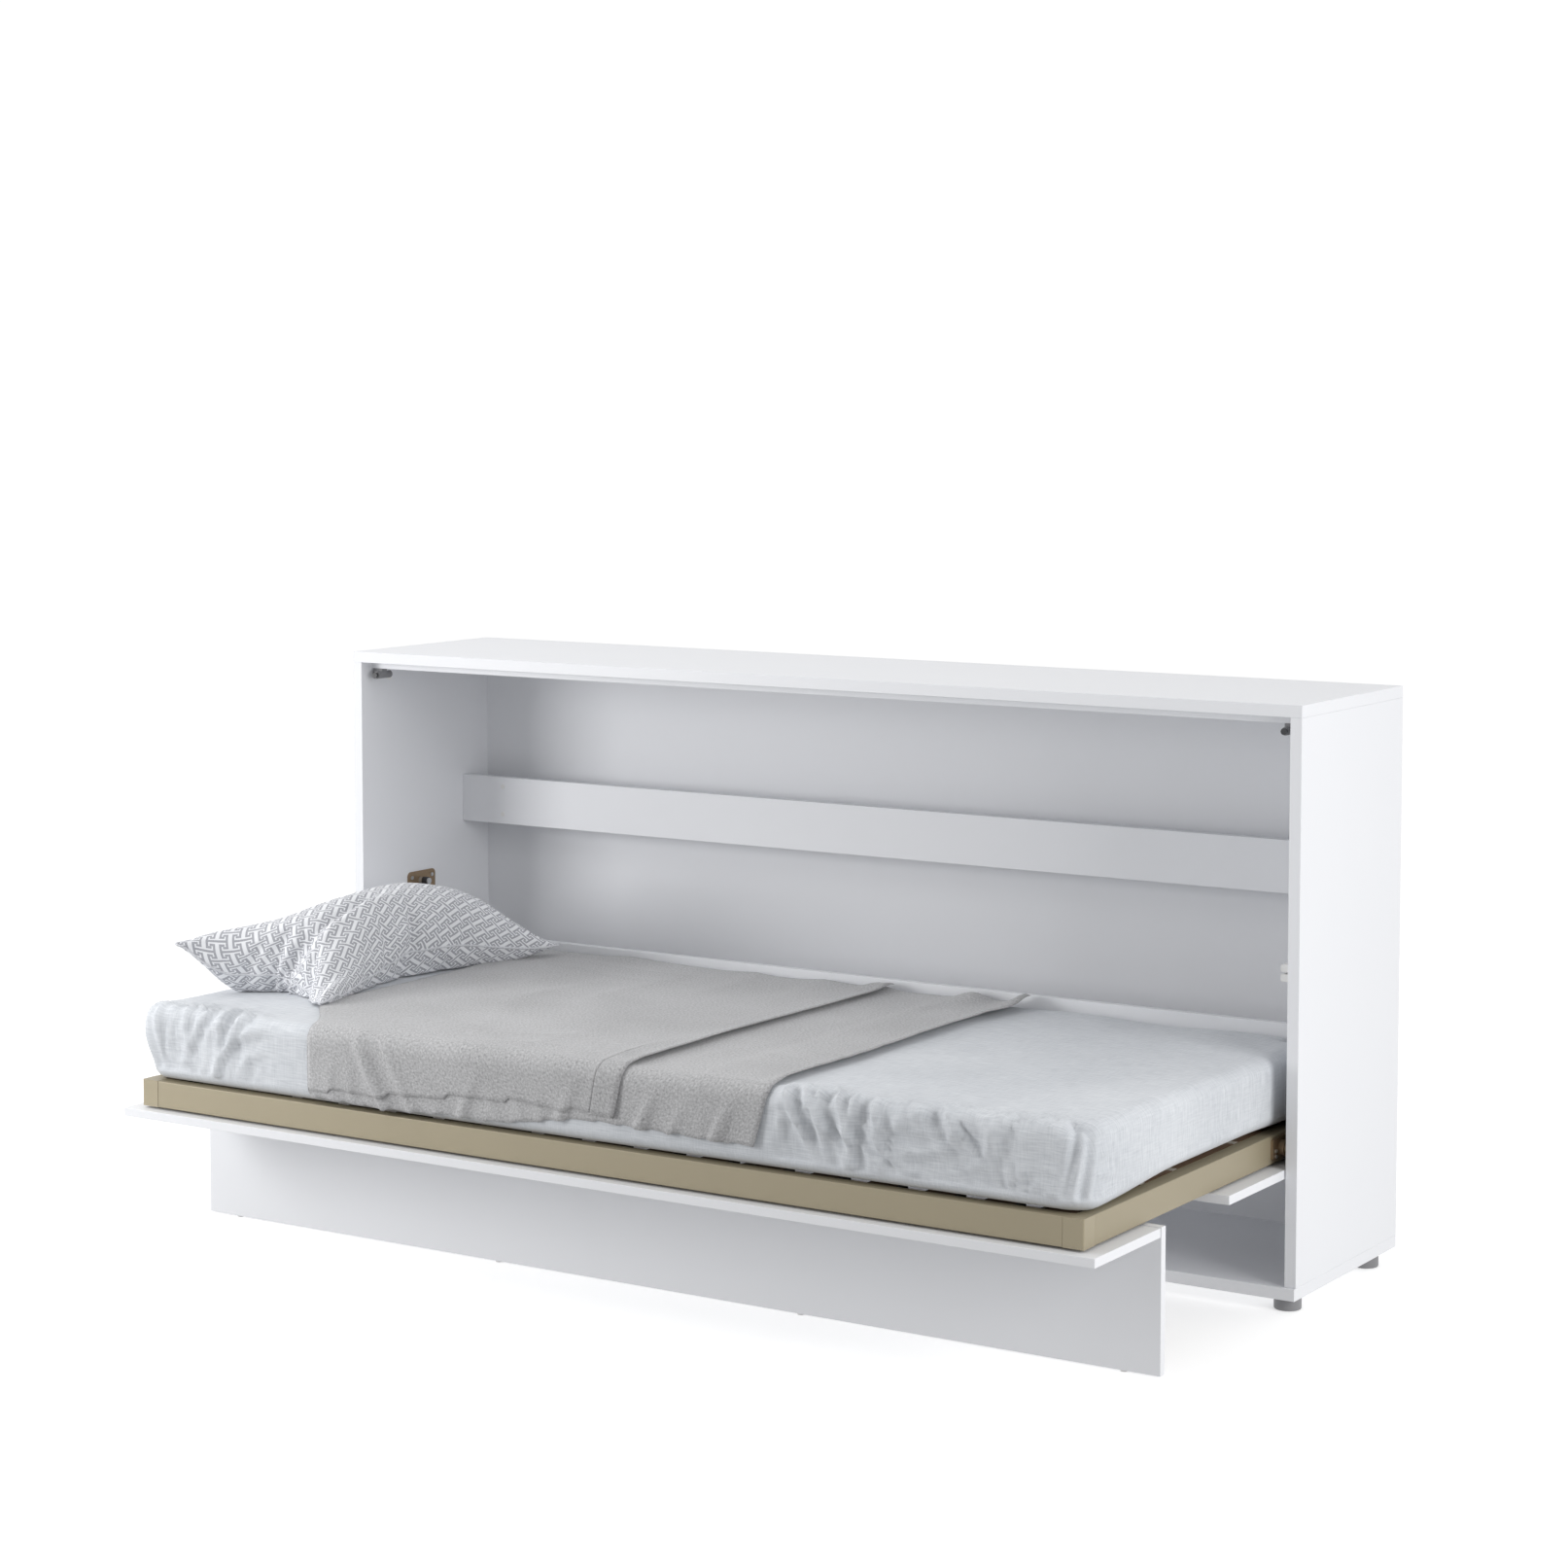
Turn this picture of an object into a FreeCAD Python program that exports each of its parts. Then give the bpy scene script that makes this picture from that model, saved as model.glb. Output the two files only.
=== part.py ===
"""Horizontal wall bed for a 90 x 200 cm mattress, shown folded down and made up.

Millimetres. X runs along the bed, right is +X. Y runs from the front to the wall.
Z is height above the floor. Sizes below are measured from the cabinet's front plane (Y = 0);
export() then moves every piece so that the origin is the middle of the footprint on the floor.
The bed frame turns up about the pivots; the leg panel hangs under it and stays upright.
"""

import FreeCAD
import Part
import math
import os

# ---- driving dimensions -------------------------------------------------------------------

# Cabinet, made of melamine-faced board on plastic feet
CABINET_LENGTH = 2110.0
CABINET_DEPTH = 447.0
FOOT_HEIGHT = 22.0
CARCASS_BOARD = 22.0
SIDE_HEIGHT = 1000.0
BASE_OVERHANG = 6.0
BACK_FRONT_Y = 420.0
BACK_THICKNESS = 3.0
BACK_GROOVE = 8.0

# Pivot of the bed frame, and what hangs below it
PIVOT_Y = 45.0
PIVOT_Z = 280.0
PIVOT_PIN_R = 6.0
RUNNING_GAP = 0.05

# Door, in three boards: two are fixed under the frame, the middle one is the leg panel
DOOR_BOARD = 16.0
DOOR_BOARD_LENGTH = 2062.0
DOOR_FRONT_Y = -712.0
UPPER_BOARD_REAR_Y = -481.0
LOWER_BOARD_FRONT_Y = -222.0
LOWER_BOARD_REAR_Y = 275.0
DOOR_TOP_Z = 251.0

# Leg panel and its hinge line
LEG_LENGTH = 2060.8
LEG_HINGE_Y = -468.5
LEG_HINGE_DROP = 8.0
GLIDE_HEIGHT = 3.0
LEG_TAB_PLACES = (-880.0, -300.0, 300.0, 880.0)

# Steel frame of the bed
FRAME_HALF = 1001.3
FRAME_FRONT_Y = -692.2
FRAME_REAR_Y = 208.0
FRAME_BOTTOM = 255.5
FRAME_TOP = 305.5
TUBE_WIDTH = 30.0
TUBE_WALL = 2.0
CORNER_LENGTH = 38.0
CROSS_TUBE_WIDTH = 25.0
CROSS_TUBE_HEIGHT = 30.0

# Slats, their holders and the tapes that keep them apart
SLAT_COUNT = 18
SLAT_WIDTH = 53.0
SLAT_THICKNESS = 8.0
SLAT_TOP = 304.5
HOLDER_LENGTH = 40.0
TAPE_PLACES = (-424.0, -306.0, -68.0)
TAPE_WIDTH = 16.0
TAPE_THICKNESS = 0.8

# Bedding
MATTRESS_HALF = 997.0
MATTRESS_FRONT_Y = -684.0
MATTRESS_REAR_Y = 206.0
MATTRESS_BOTTOM = 306.0
MATTRESS_TOP = 446.0
MATTRESS_EDGE_R = 30.0
MATTRESS_CORNER_R = 40.0
BLANKET_THICKNESS = 5.0
BLANKET_GAP = 1.0

# Gas springs between the cabinet sides and the frame
SPRING_X = 1016.0
SPRING_TOP_Y = 184.0
SPRING_TOP_Z = 572.0
SPRING_ARM = 140.0
SPRING_TUBE_R = 9.0
SPRING_BORE_R = 7.5
SPRING_ROD_R = 4.0
SPRING_TUBE_START = 12.0
SPRING_TUBE_END = 238.0
STUD_R = 4.0

# Values worked out from those above
INNER_HALF = CABINET_LENGTH / 2 - CARCASS_BOARD
BASE_TOP = FOOT_HEIGHT + CARCASS_BOARD
SIDE_TOP = BASE_TOP + SIDE_HEIGHT
TOP_TOP = SIDE_TOP + CARCASS_BOARD
DOOR_BOTTOM_Z = DOOR_TOP_Z - DOOR_BOARD
LEG_HINGE_Z = DOOR_TOP_Z - LEG_HINGE_DROP
LEG_FRONT_Y = LEG_HINGE_Y - DOOR_BOARD / 2
CLOSED_LEG_LOW_Z = PIVOT_Z + PIVOT_Y - LEG_HINGE_Y - LEG_HINGE_Z + GLIDE_HEIGHT
CENTRE_Y = (DOOR_FRONT_Y + CABINET_DEPTH) / 2

V = FreeCAD.Vector


# ---- small shape helpers ------------------------------------------------------------------

def box(x0, x1, y0, y1, z0, z1):
    """A block between two corners."""
    return Part.makeBox(x1 - x0, y1 - y0, z1 - z0, V(x0, y0, z0))


def bar_x(radius, x0, x1, y, z):
    """A round bar along X."""
    return Part.makeCylinder(radius, x1 - x0, V(x0, y, z), V(1, 0, 0))


def bar_y(radius, x, y0, y1, z):
    """A round bar along Y."""
    return Part.makeCylinder(radius, y1 - y0, V(x, y0, z), V(0, 1, 0))


def bar_z(radius, x, y, z0, z1):
    """A round bar along Z."""
    return Part.makeCylinder(radius, z1 - z0, V(x, y, z0), V(0, 0, 1))


def rounded(shape, radius, axis):
    """The shape with the edges that run along one axis rounded."""
    edges = []
    for edge in shape.Edges:
        if len(edge.Vertexes) < 2:
            continue
        run = edge.Vertexes[1].Point - edge.Vertexes[0].Point
        if abs(run.normalize().dot(axis)) > 0.99:
            edges.append(edge)
    return shape.makeFillet(radius, edges)


def plate_x(x0, x1, y0, y1, z0, z1, corner):
    """A plate that lies across X, with rounded corners."""
    return rounded(box(x0, x1, y0, y1, z0, z1), corner, V(1, 0, 0))


def mirrored(shape):
    """The same piece for the left end."""
    return shape.mirror(V(0, 0, 0), V(1, 0, 0))


def export(name, *solids):
    """Write one node, moved so that the origin is under the middle of the object."""
    group = solids[0] if len(solids) == 1 else Part.makeCompound(list(solids))
    moved = group.copy()
    moved.translate(V(0, -CENTRE_Y, 0))
    moved.exportStep("parts/" + name + ".step")


def export_pair(name, right):
    """Write the right-hand piece and its mirror image as two nodes."""
    export(name + "_right", right)
    export(name + "_left", mirrored(right))


def both(*right):
    """The right-hand solids followed by their mirror images."""
    return list(right) + [mirrored(solid) for solid in right]


os.makedirs("parts", exist_ok=True)


# ---- cabinet ------------------------------------------------------------------------------

DOWEL_R = 4.0
DOWEL_HALF = 14.0
DOWEL_PLACES = (50.0, 215.0, 385.0)
CAM_R = 7.5
CAM_DEPTH = 13.0
CAM_FROM_EDGE = 34.0
CAM_BOLT_R = 3.0
CAM_PLACES = (90.0, 345.0)
FOOT_R = 24.5
FOOT_PLACES_X = (-1028.0, 0.0, 1028.0)
FOOT_PLACES_Y = (27.0, 368.0)
FOOT_SCREW_R = 4.0

side_middle_x = CABINET_LENGTH / 2 - CARCASS_BOARD / 2
joints = ((BASE_TOP, 1.0), (SIDE_TOP, -1.0))

dowels = []
cams = []
cam_bolts = []
for joint_z, inward in joints:
    for y in DOWEL_PLACES:
        dowels.append(bar_z(DOWEL_R, side_middle_x, y, joint_z - DOWEL_HALF, joint_z + DOWEL_HALF))
    for y in CAM_PLACES:
        cam_z = joint_z + inward * CAM_FROM_EDGE
        cams.append(bar_x(CAM_R, INNER_HALF, INNER_HALF + CAM_DEPTH, y, cam_z))
        bolt_in = joint_z - inward * 11.0
        bolt_out = joint_z + inward * (CAM_FROM_EDGE - CAM_R - 1.5)
        bolt_ends = sorted((bolt_in, bolt_out))
        cam_bolts.append(bar_z(CAM_BOLT_R, INNER_HALF + 8.0, y, bolt_ends[0], bolt_ends[1]))
dowels = both(*dowels)
cams = both(*cams)
cam_bolts = both(*cam_bolts)
fittings = Part.makeCompound(dowels + cams + cam_bolts)

feet = []
foot_screws = []
for x in FOOT_PLACES_X:
    for y in FOOT_PLACES_Y:
        foot = bar_z(FOOT_R, x, y, 0.0, FOOT_HEIGHT)
        rim = [edge for edge in foot.Edges if edge.Length > 100 and edge.CenterOfMass.z < 1]
        foot = foot.makeFillet(3.0, rim)
        screw = bar_z(FOOT_SCREW_R, x, y, 8.0, FOOT_HEIGHT + 14.0)
        feet.append(foot.cut(screw))
        foot_screws.append(screw)

half = CABINET_LENGTH / 2
back_low = BASE_TOP - BACK_GROOVE
back_high = SIDE_TOP + BACK_GROOVE
back_half = INNER_HALF + BACK_GROOVE
back_rear_y = BACK_FRONT_Y + BACK_THICKNESS
back_space = box(-back_half, back_half, BACK_FRONT_Y, back_rear_y, back_low, back_high)

bottom = box(-half, half, -BASE_OVERHANG, CABINET_DEPTH, FOOT_HEIGHT, BASE_TOP)
bottom = bottom.cut(back_space).cut(fittings).cut(Part.makeCompound(foot_screws))
export("bottom_panel", bottom)
top = box(-half, half, 0.0, CABINET_DEPTH, SIDE_TOP, TOP_TOP)
export("top_panel", top.cut(back_space).cut(fittings))
side = box(INNER_HALF, half, 0.0, CABINET_DEPTH, BASE_TOP, SIDE_TOP)
export_pair("side_panel", side.cut(back_space).cut(fittings))

export("cabinet_feet", *feet)
export("foot_screws", *foot_screws)
export("carcass_dowels", *dowels)
export("cam_locks", *cams)
export("cam_bolts", *cam_bolts)

# Wall rail across the cabinet, with a cover cap over each of its fixings
RAIL_LOW = 682.0
RAIL_HIGH = 781.0
RAIL_FRONT_Y = 333.0
RAIL_THICKNESS = 18.0
CAP_R = 5.0
CAP_PLACES = ((926.0, 702.0), (926.0, 761.0))

rail = box(-INNER_HALF, INNER_HALF, RAIL_FRONT_Y, RAIL_FRONT_Y + RAIL_THICKNESS, RAIL_LOW, RAIL_HIGH)
export("wall_rail", rail)
caps = [bar_y(CAP_R, x, RAIL_FRONT_Y - 1.0, RAIL_FRONT_Y, z) for x, z in CAP_PLACES]
export("wall_rail_caps", *both(*caps))

# Two hardboard sheets close the back; a plastic strip joins them behind the rail
JOINER_HALF = 12.0
JOINER_WEB_HALF = 0.75
JOINER_FLANGE = 1.2

seam_z = (RAIL_LOW + RAIL_HIGH) / 2
BRACKET_HOLE_R = 4.5
BRACKET_HOLE_X = 940.0
BRACKET_HOLE_Z = SIDE_TOP - 22.0
wall_hole = bar_y(BRACKET_HOLE_R, BRACKET_HOLE_X, BACK_FRONT_Y - 10.0, back_rear_y + 10.0, BRACKET_HOLE_Z)
wall_holes = both(wall_hole)

upper_sheet = box(-back_half, back_half, BACK_FRONT_Y, back_rear_y, seam_z + JOINER_WEB_HALF, back_high)
lower_sheet = box(-back_half, back_half, BACK_FRONT_Y, back_rear_y, back_low, seam_z - JOINER_WEB_HALF)
export("back_sheet_upper", upper_sheet.cut(Part.makeCompound(wall_holes)))
export("back_sheet_lower", lower_sheet)
joiner_low = seam_z - JOINER_HALF
joiner_high = seam_z + JOINER_HALF
joiner_front = box(-INNER_HALF, INNER_HALF, BACK_FRONT_Y - JOINER_FLANGE, BACK_FRONT_Y,
                   joiner_low, joiner_high)
joiner_rear = box(-INNER_HALF, INNER_HALF, back_rear_y, back_rear_y + JOINER_FLANGE, joiner_low, joiner_high)
joiner_web = box(-INNER_HALF, INNER_HALF, BACK_FRONT_Y - JOINER_FLANGE, back_rear_y + JOINER_FLANGE,
                 seam_z - JOINER_WEB_HALF, seam_z + JOINER_WEB_HALF)
export("back_sheet_joiner", joiner_web.fuse([joiner_front, joiner_rear]).removeSplitter())

# Steel angles under the top, drilled for the screws that hold the cabinet to the wall
ANGLE_THICKNESS = 3.0
ANGLE_ARM = 40.0
ANGLE_HALF_WIDTH = 20.0

angles = []
angle_screws = []
angle_y = BACK_FRONT_Y - ANGLE_ARM
upright = box(BRACKET_HOLE_X - ANGLE_HALF_WIDTH, BRACKET_HOLE_X + ANGLE_HALF_WIDTH,
              BACK_FRONT_Y - ANGLE_THICKNESS, BACK_FRONT_Y, SIDE_TOP - ANGLE_ARM, SIDE_TOP)
flat = box(BRACKET_HOLE_X - ANGLE_HALF_WIDTH, BRACKET_HOLE_X + ANGLE_HALF_WIDTH,
           angle_y, BACK_FRONT_Y, SIDE_TOP - ANGLE_THICKNESS, SIDE_TOP)
angle = upright.fuse(flat).removeSplitter().cut(Part.makeCompound(wall_holes))
for x in (BRACKET_HOLE_X - 10.0, BRACKET_HOLE_X + 10.0):
    head = bar_z(4.0, x, angle_y + 14.0, SIDE_TOP - ANGLE_THICKNESS - 2.0, SIDE_TOP - ANGLE_THICKNESS)
    angle_screws.append(head)
export("wall_brackets", *both(angle))
export("wall_bracket_screws", *both(*angle_screws))

# Stop rail under the top's front edge, and the push latches and magnets that hold the door
STOP_FRONT_Y = 34.0
STOP_DEPTH = 16.0
STOP_HEIGHT = 14.0
LATCH_X = 1013.0
LATCH_Z = 1017.0
LATCH_R = 7.5
LATCH_FRONT_Y = 24.0
LATCH_REAR_Y = 66.0
PLUNGER_R = 4.0
PLUNGER_FRONT_Y = 17.4
PLUNGER_REAR_Y = 46.0
CATCH_FRONT_Y = 17.5
CATCH_REAR_Y = 45.0
CATCH_WIDTH = 21.0

stop_low = SIDE_TOP - STOP_HEIGHT
stop_rear_y = STOP_FRONT_Y + STOP_DEPTH
stop_rail = box(-INNER_HALF, INNER_HALF, STOP_FRONT_Y, stop_rear_y, stop_low, SIDE_TOP)
export("top_stop_rail", stop_rail)
latch = bar_y(LATCH_R, LATCH_X, LATCH_FRONT_Y, LATCH_REAR_Y, LATCH_Z)
latch_foot = box(LATCH_X - 6.0, LATCH_X + 16.0, STOP_FRONT_Y, stop_rear_y, LATCH_Z, stop_low)
plunger_bore = bar_y(PLUNGER_R + RUNNING_GAP, LATCH_X, LATCH_FRONT_Y - 1.0, LATCH_REAR_Y - 8.0, LATCH_Z)
latch = latch.fuse(latch_foot).removeSplitter().cut(plunger_bore)
export("latch_housings", *both(latch))
plunger = bar_y(PLUNGER_R, LATCH_X, PLUNGER_FRONT_Y, PLUNGER_REAR_Y, LATCH_Z)
plunger_tip = bar_y(PLUNGER_R + 2.0, LATCH_X, PLUNGER_FRONT_Y, PLUNGER_FRONT_Y + 3.0, LATCH_Z)
plunger = plunger.fuse(plunger_tip).removeSplitter()
export_pair("latch_plunger", plunger)

catch_zs = (CLOSED_LEG_LOW_Z + 26.0, CLOSED_LEG_LOW_Z + 43.0)
catches = []
for z in catch_zs:
    body = box(INNER_HALF - CATCH_WIDTH, INNER_HALF, CATCH_FRONT_Y, CATCH_REAR_Y, z, z + 13.0)
    catches.append(rounded(body, 3.0, V(0, 1, 0)))
export("magnetic_catches", *catches)

# Plate and shoulder pin that carry the frame at each end
PLATE_THICKNESS = 2.5
PLATE_REACH = 27.5
PLATE_REAR = 92.0
PLATE_UP = 70.0
COLLAR_R = 12.0
COLLAR_END_X = 1016.0
PIN_END_X = 1006.0
SCREW_HEAD_R = 4.0
SCREW_HEAD_HEIGHT = 2.0

plate_x0 = INNER_HALF - PLATE_THICKNESS
plate_top = PIVOT_Z + PLATE_UP
plate_low = box(plate_x0, INNER_HALF, PIVOT_Y, PIVOT_Y + PLATE_REAR, PIVOT_Z - PLATE_REACH, plate_top)
plate_front = box(plate_x0, INNER_HALF, PIVOT_Y - PLATE_REACH, PIVOT_Y, PIVOT_Z, plate_top)
plate_nose = bar_x(PLATE_REACH, plate_x0, INNER_HALF, PIVOT_Y, PIVOT_Z)
collar = bar_x(COLLAR_R, COLLAR_END_X, plate_x0, PIVOT_Y, PIVOT_Z)
pin = bar_x(PIVOT_PIN_R, PIN_END_X, INNER_HALF, PIVOT_Y, PIVOT_Z)
hinge_plate = plate_low.fuse([plate_front, plate_nose, collar]).removeSplitter().cut(pin)
export_pair("hinge_plate", hinge_plate)
export("pivot_pins", *both(pin))

plate_screws = []
for rearward, upward in ((-14.0, 56.0), (78.0, 56.0), (78.0, -14.0)):
    plate_screws.append(bar_x(SCREW_HEAD_R, plate_x0 - SCREW_HEAD_HEIGHT, plate_x0,
                              PIVOT_Y + rearward, PIVOT_Z + upward))

# Bracket and stud for the top of each gas spring
BRACKET_FRONT_Y = 143.0
BRACKET_REAR_Y = 233.0
BRACKET_LOW = 530.0
BRACKET_HIGH = 592.0

bracket = plate_x(plate_x0, INNER_HALF, BRACKET_FRONT_Y, BRACKET_REAR_Y, BRACKET_LOW, BRACKET_HIGH, 10.0)
stud = bar_x(STUD_R, SPRING_X - 9.5, plate_x0, SPRING_TOP_Y, SPRING_TOP_Z)
stud_collar = bar_x(7.0, SPRING_X + 6.5, plate_x0, SPRING_TOP_Y, SPRING_TOP_Z)
stud_nut = bar_x(6.5, SPRING_X - 9.5, SPRING_X - 6.5, SPRING_TOP_Y, SPRING_TOP_Z)
export_pair("strut_bracket", bracket)
export("strut_studs", *both(stud.fuse([stud_collar, stud_nut]).removeSplitter()))
for y in (BRACKET_FRONT_Y + 12.0, BRACKET_REAR_Y - 12.0):
    for z in (BRACKET_LOW + 12.0, BRACKET_HIGH - 12.0):
        plate_screws.append(bar_x(SCREW_HEAD_R, plate_x0 - SCREW_HEAD_HEIGHT, plate_x0, y, z))
export("plate_screws", *both(*plate_screws))


# ---- bed frame ----------------------------------------------------------------------------

corner_inset = CORNER_LENGTH
front_inner_y = FRAME_FRONT_Y + TUBE_WIDTH
rear_inner_y = FRAME_REAR_Y - TUBE_WIDTH
side_inner_x = FRAME_HALF - TUBE_WIDTH


def tube_along_x(y0, x0, x1):
    """A rectangular steel tube along X, open at both ends."""
    outer = box(x0, x1, y0, y0 + TUBE_WIDTH, FRAME_BOTTOM, FRAME_TOP)
    inner = box(x0, x1, y0 + TUBE_WALL, y0 + TUBE_WIDTH - TUBE_WALL,
                FRAME_BOTTOM + TUBE_WALL, FRAME_TOP - TUBE_WALL)
    return rounded(outer, TUBE_WALL, V(1, 0, 0)).cut(inner)


def tube_along_y(x0, width, y0, y1, z0, z1):
    """A rectangular steel tube along Y, open at both ends."""
    outer = box(x0, x0 + width, y0, y1, z0, z1)
    inner = box(x0 + TUBE_WALL, x0 + width - TUBE_WALL, y0, y1, z0 + TUBE_WALL, z1 - TUBE_WALL)
    return rounded(outer, TUBE_WALL, V(0, 1, 0)).cut(inner)


long_half = FRAME_HALF - corner_inset
short_front = FRAME_FRONT_Y + corner_inset
short_rear = FRAME_REAR_Y - corner_inset
export("frame_front_tube", tube_along_x(FRAME_FRONT_Y, -long_half, long_half))
export("frame_rear_tube", tube_along_x(rear_inner_y, -long_half, long_half))
side_tube = tube_along_y(side_inner_x, TUBE_WIDTH, short_front, short_rear, FRAME_BOTTOM, FRAME_TOP)
export_pair("frame_side_tube", side_tube)

# Moulded corners: an L of the tube's outer section, with a spigot that fills each tube's end
SPIGOT = 30.0
CORNER_ROUND = 3.0


def corner(outer_y, inward):
    """The right-hand corner at the frame's front (inward = 1) or rear (inward = -1)."""
    along_y = sorted((outer_y, outer_y + inward * TUBE_WIDTH))
    across_y = sorted((outer_y, outer_y + inward * corner_inset))
    arm_x = box(long_half, FRAME_HALF, along_y[0], along_y[1], FRAME_BOTTOM, FRAME_TOP)
    arm_y = box(side_inner_x, FRAME_HALF, across_y[0], across_y[1], FRAME_BOTTOM, FRAME_TOP)
    block = arm_x.fuse(arm_y).removeSplitter()
    outer_edges = []
    for edge in block.Edges:
        middle = edge.CenterOfMass
        upright = abs(edge.Vertexes[0].Z - edge.Vertexes[1].Z) > 1.0
        if upright and abs(middle.x - FRAME_HALF) < 0.1 and abs(middle.y - outer_y) < 0.1:
            outer_edges.append(edge)
    block = block.makeFillet(CORNER_ROUND, outer_edges)
    low = FRAME_BOTTOM + TUBE_WALL
    high = FRAME_TOP - TUBE_WALL
    inner_y = (along_y[0] + TUBE_WALL, along_y[1] - TUBE_WALL)
    spigot_x = box(long_half - SPIGOT, long_half, inner_y[0], inner_y[1], low, high)
    reach = sorted((outer_y + inward * corner_inset, outer_y + inward * (corner_inset + SPIGOT)))
    spigot_y = box(side_inner_x + TUBE_WALL, FRAME_HALF - TUBE_WALL, reach[0], reach[1], low, high)
    return block.fuse([spigot_x, spigot_y])


export("frame_corners", *both(corner(FRAME_FRONT_Y, 1.0), corner(FRAME_REAR_Y, -1.0)))

# Cross tubes that carry the door boards and the leg's hinge tabs
cross_top = FRAME_BOTTOM + CROSS_TUBE_HEIGHT
cross_tubes = []
for x in LEG_TAB_PLACES:
    x0 = x - CROSS_TUBE_WIDTH / 2
    cross_tubes.append(tube_along_y(x0, CROSS_TUBE_WIDTH, front_inner_y, rear_inner_y,
                                    FRAME_BOTTOM, cross_top))
export("cross_tubes", *cross_tubes)

# Wooden slats, each in a rubber holder at both ends
slat_low = SLAT_TOP - SLAT_THICKNESS
slat_pitch = (2 * side_inner_x - SLAT_WIDTH - 6.0) / (SLAT_COUNT - 1)
holder_low = slat_low - 3.0
slats = []
holders = []
for index in range(SLAT_COUNT):
    x = -side_inner_x + 3.0 + SLAT_WIDTH / 2 + index * slat_pitch
    y0 = front_inner_y + 3.0
    y1 = rear_inner_y - 3.0
    slats.append(box(x - SLAT_WIDTH / 2, x + SLAT_WIDTH / 2, y0, y1, slat_low, SLAT_TOP))
    for inner_y, inward in ((front_inner_y, 1.0), (rear_inner_y, -1.0)):
        ends = sorted((inner_y, inner_y + inward * HOLDER_LENGTH))
        shell = box(x - SLAT_WIDTH / 2 - 2.0, x + SLAT_WIDTH / 2 + 2.0, ends[0], ends[1],
                    holder_low, SLAT_TOP)
        holders.append(shell.cut(slats[-1]))
export("slats", *slats)
export("slat_holders", *holders)

tape_half = side_inner_x - 2.0
tapes = []
for y in TAPE_PLACES:
    tapes.append(box(-tape_half, tape_half, y - TAPE_WIDTH / 2, y + TAPE_WIDTH / 2,
                     SLAT_TOP, SLAT_TOP + TAPE_THICKNESS))
export("slat_tapes", *tapes)

# Door boards under the frame, on thin spacers
door_half = DOOR_BOARD_LENGTH / 2
SPACER_R = 9.0
BOARD_SCREW_R = 3.0
SCREW_DEPTH = 10.0

spacers = []
board_screws = []
spacer_rows = (DOOR_FRONT_Y + 60.0, UPPER_BOARD_REAR_Y - 40.0,
               LOWER_BOARD_FRONT_Y + 50.0, rear_inner_y - 20.0)
for x in LEG_TAB_PLACES:
    for y in spacer_rows:
        screw = bar_z(BOARD_SCREW_R, x, y, DOOR_TOP_Z - SCREW_DEPTH, FRAME_BOTTOM)
        spacers.append(bar_z(SPACER_R, x, y, DOOR_TOP_Z, FRAME_BOTTOM).cut(screw))
        board_screws.append(screw)
screw_holes = Part.makeCompound(board_screws)
upper_board = box(-door_half, door_half, DOOR_FRONT_Y, UPPER_BOARD_REAR_Y, DOOR_BOTTOM_Z, DOOR_TOP_Z)
lower_board = box(-door_half, door_half, LOWER_BOARD_FRONT_Y, LOWER_BOARD_REAR_Y, DOOR_BOTTOM_Z, DOOR_TOP_Z)
export("upper_door_board", upper_board.cut(screw_holes))
export("lower_door_board", lower_board.cut(screw_holes))
export("board_spacers", *spacers)
export("board_screws", *board_screws)

# Board behind the mattress, which carries it when the bed is folded up
REAR_BOARD_TOP = 466.0
REAR_BOARD_FRONT_Y = FRAME_REAR_Y + 1.0
REAR_BOARD_BOTTOM = 260.0

rear_bolts = []
for x in LEG_TAB_PLACES:
    rear_bolts.append(bar_y(3.0, x, FRAME_REAR_Y, REAR_BOARD_FRONT_Y + 10.0, 280.0))
rear_board = box(-FRAME_HALF, FRAME_HALF, REAR_BOARD_FRONT_Y, REAR_BOARD_FRONT_Y + DOOR_BOARD,
                 REAR_BOARD_BOTTOM, REAR_BOARD_TOP)
export("rear_mattress_board", rear_board.cut(Part.makeCompound(rear_bolts)))
export("rear_board_bolts", *rear_bolts)

# Pivot plates on the frame's ends, with a flanged bush round each pin
FRAME_PLATE = 4.0
FRAME_PLATE_FRONT_Y = 8.0
FRAME_PLATE_REAR_Y = 110.0
PLATE_LOW_Z = 262.0
PLATE_HIGH_Z = 300.0
BOSS_R = 14.0
BOSS_END_X = 1015.0
BUSH_R = 9.0

plate_out = FRAME_HALF + FRAME_PLATE
frame_plate = plate_x(FRAME_HALF, plate_out, FRAME_PLATE_FRONT_Y, FRAME_PLATE_REAR_Y,
                      PLATE_LOW_Z, PLATE_HIGH_Z, 6.0)
boss = bar_x(BOSS_R, plate_out, BOSS_END_X, PIVOT_Y, PIVOT_Z)
bush = bar_x(BUSH_R, plate_out, BOSS_END_X, PIVOT_Y, PIVOT_Z)
frame_plate = frame_plate.fuse(boss).removeSplitter().cut(bush)
bush = bush.cut(bar_x(PIVOT_PIN_R + RUNNING_GAP, plate_out, BOSS_END_X, PIVOT_Y, PIVOT_Z))
export("frame_hinge_plates", *both(frame_plate))
export("pivot_bushes", *both(bush))

# Plate that faces the lower end of each gas spring
anchor_y = PIVOT_Y + SPRING_ARM
anchor_plate = plate_x(FRAME_HALF, plate_out, anchor_y - 60.0, anchor_y + 20.0,
                       PLATE_LOW_Z, PLATE_HIGH_Z, 6.0)
export("strut_frame_plates", *both(anchor_plate))

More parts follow.
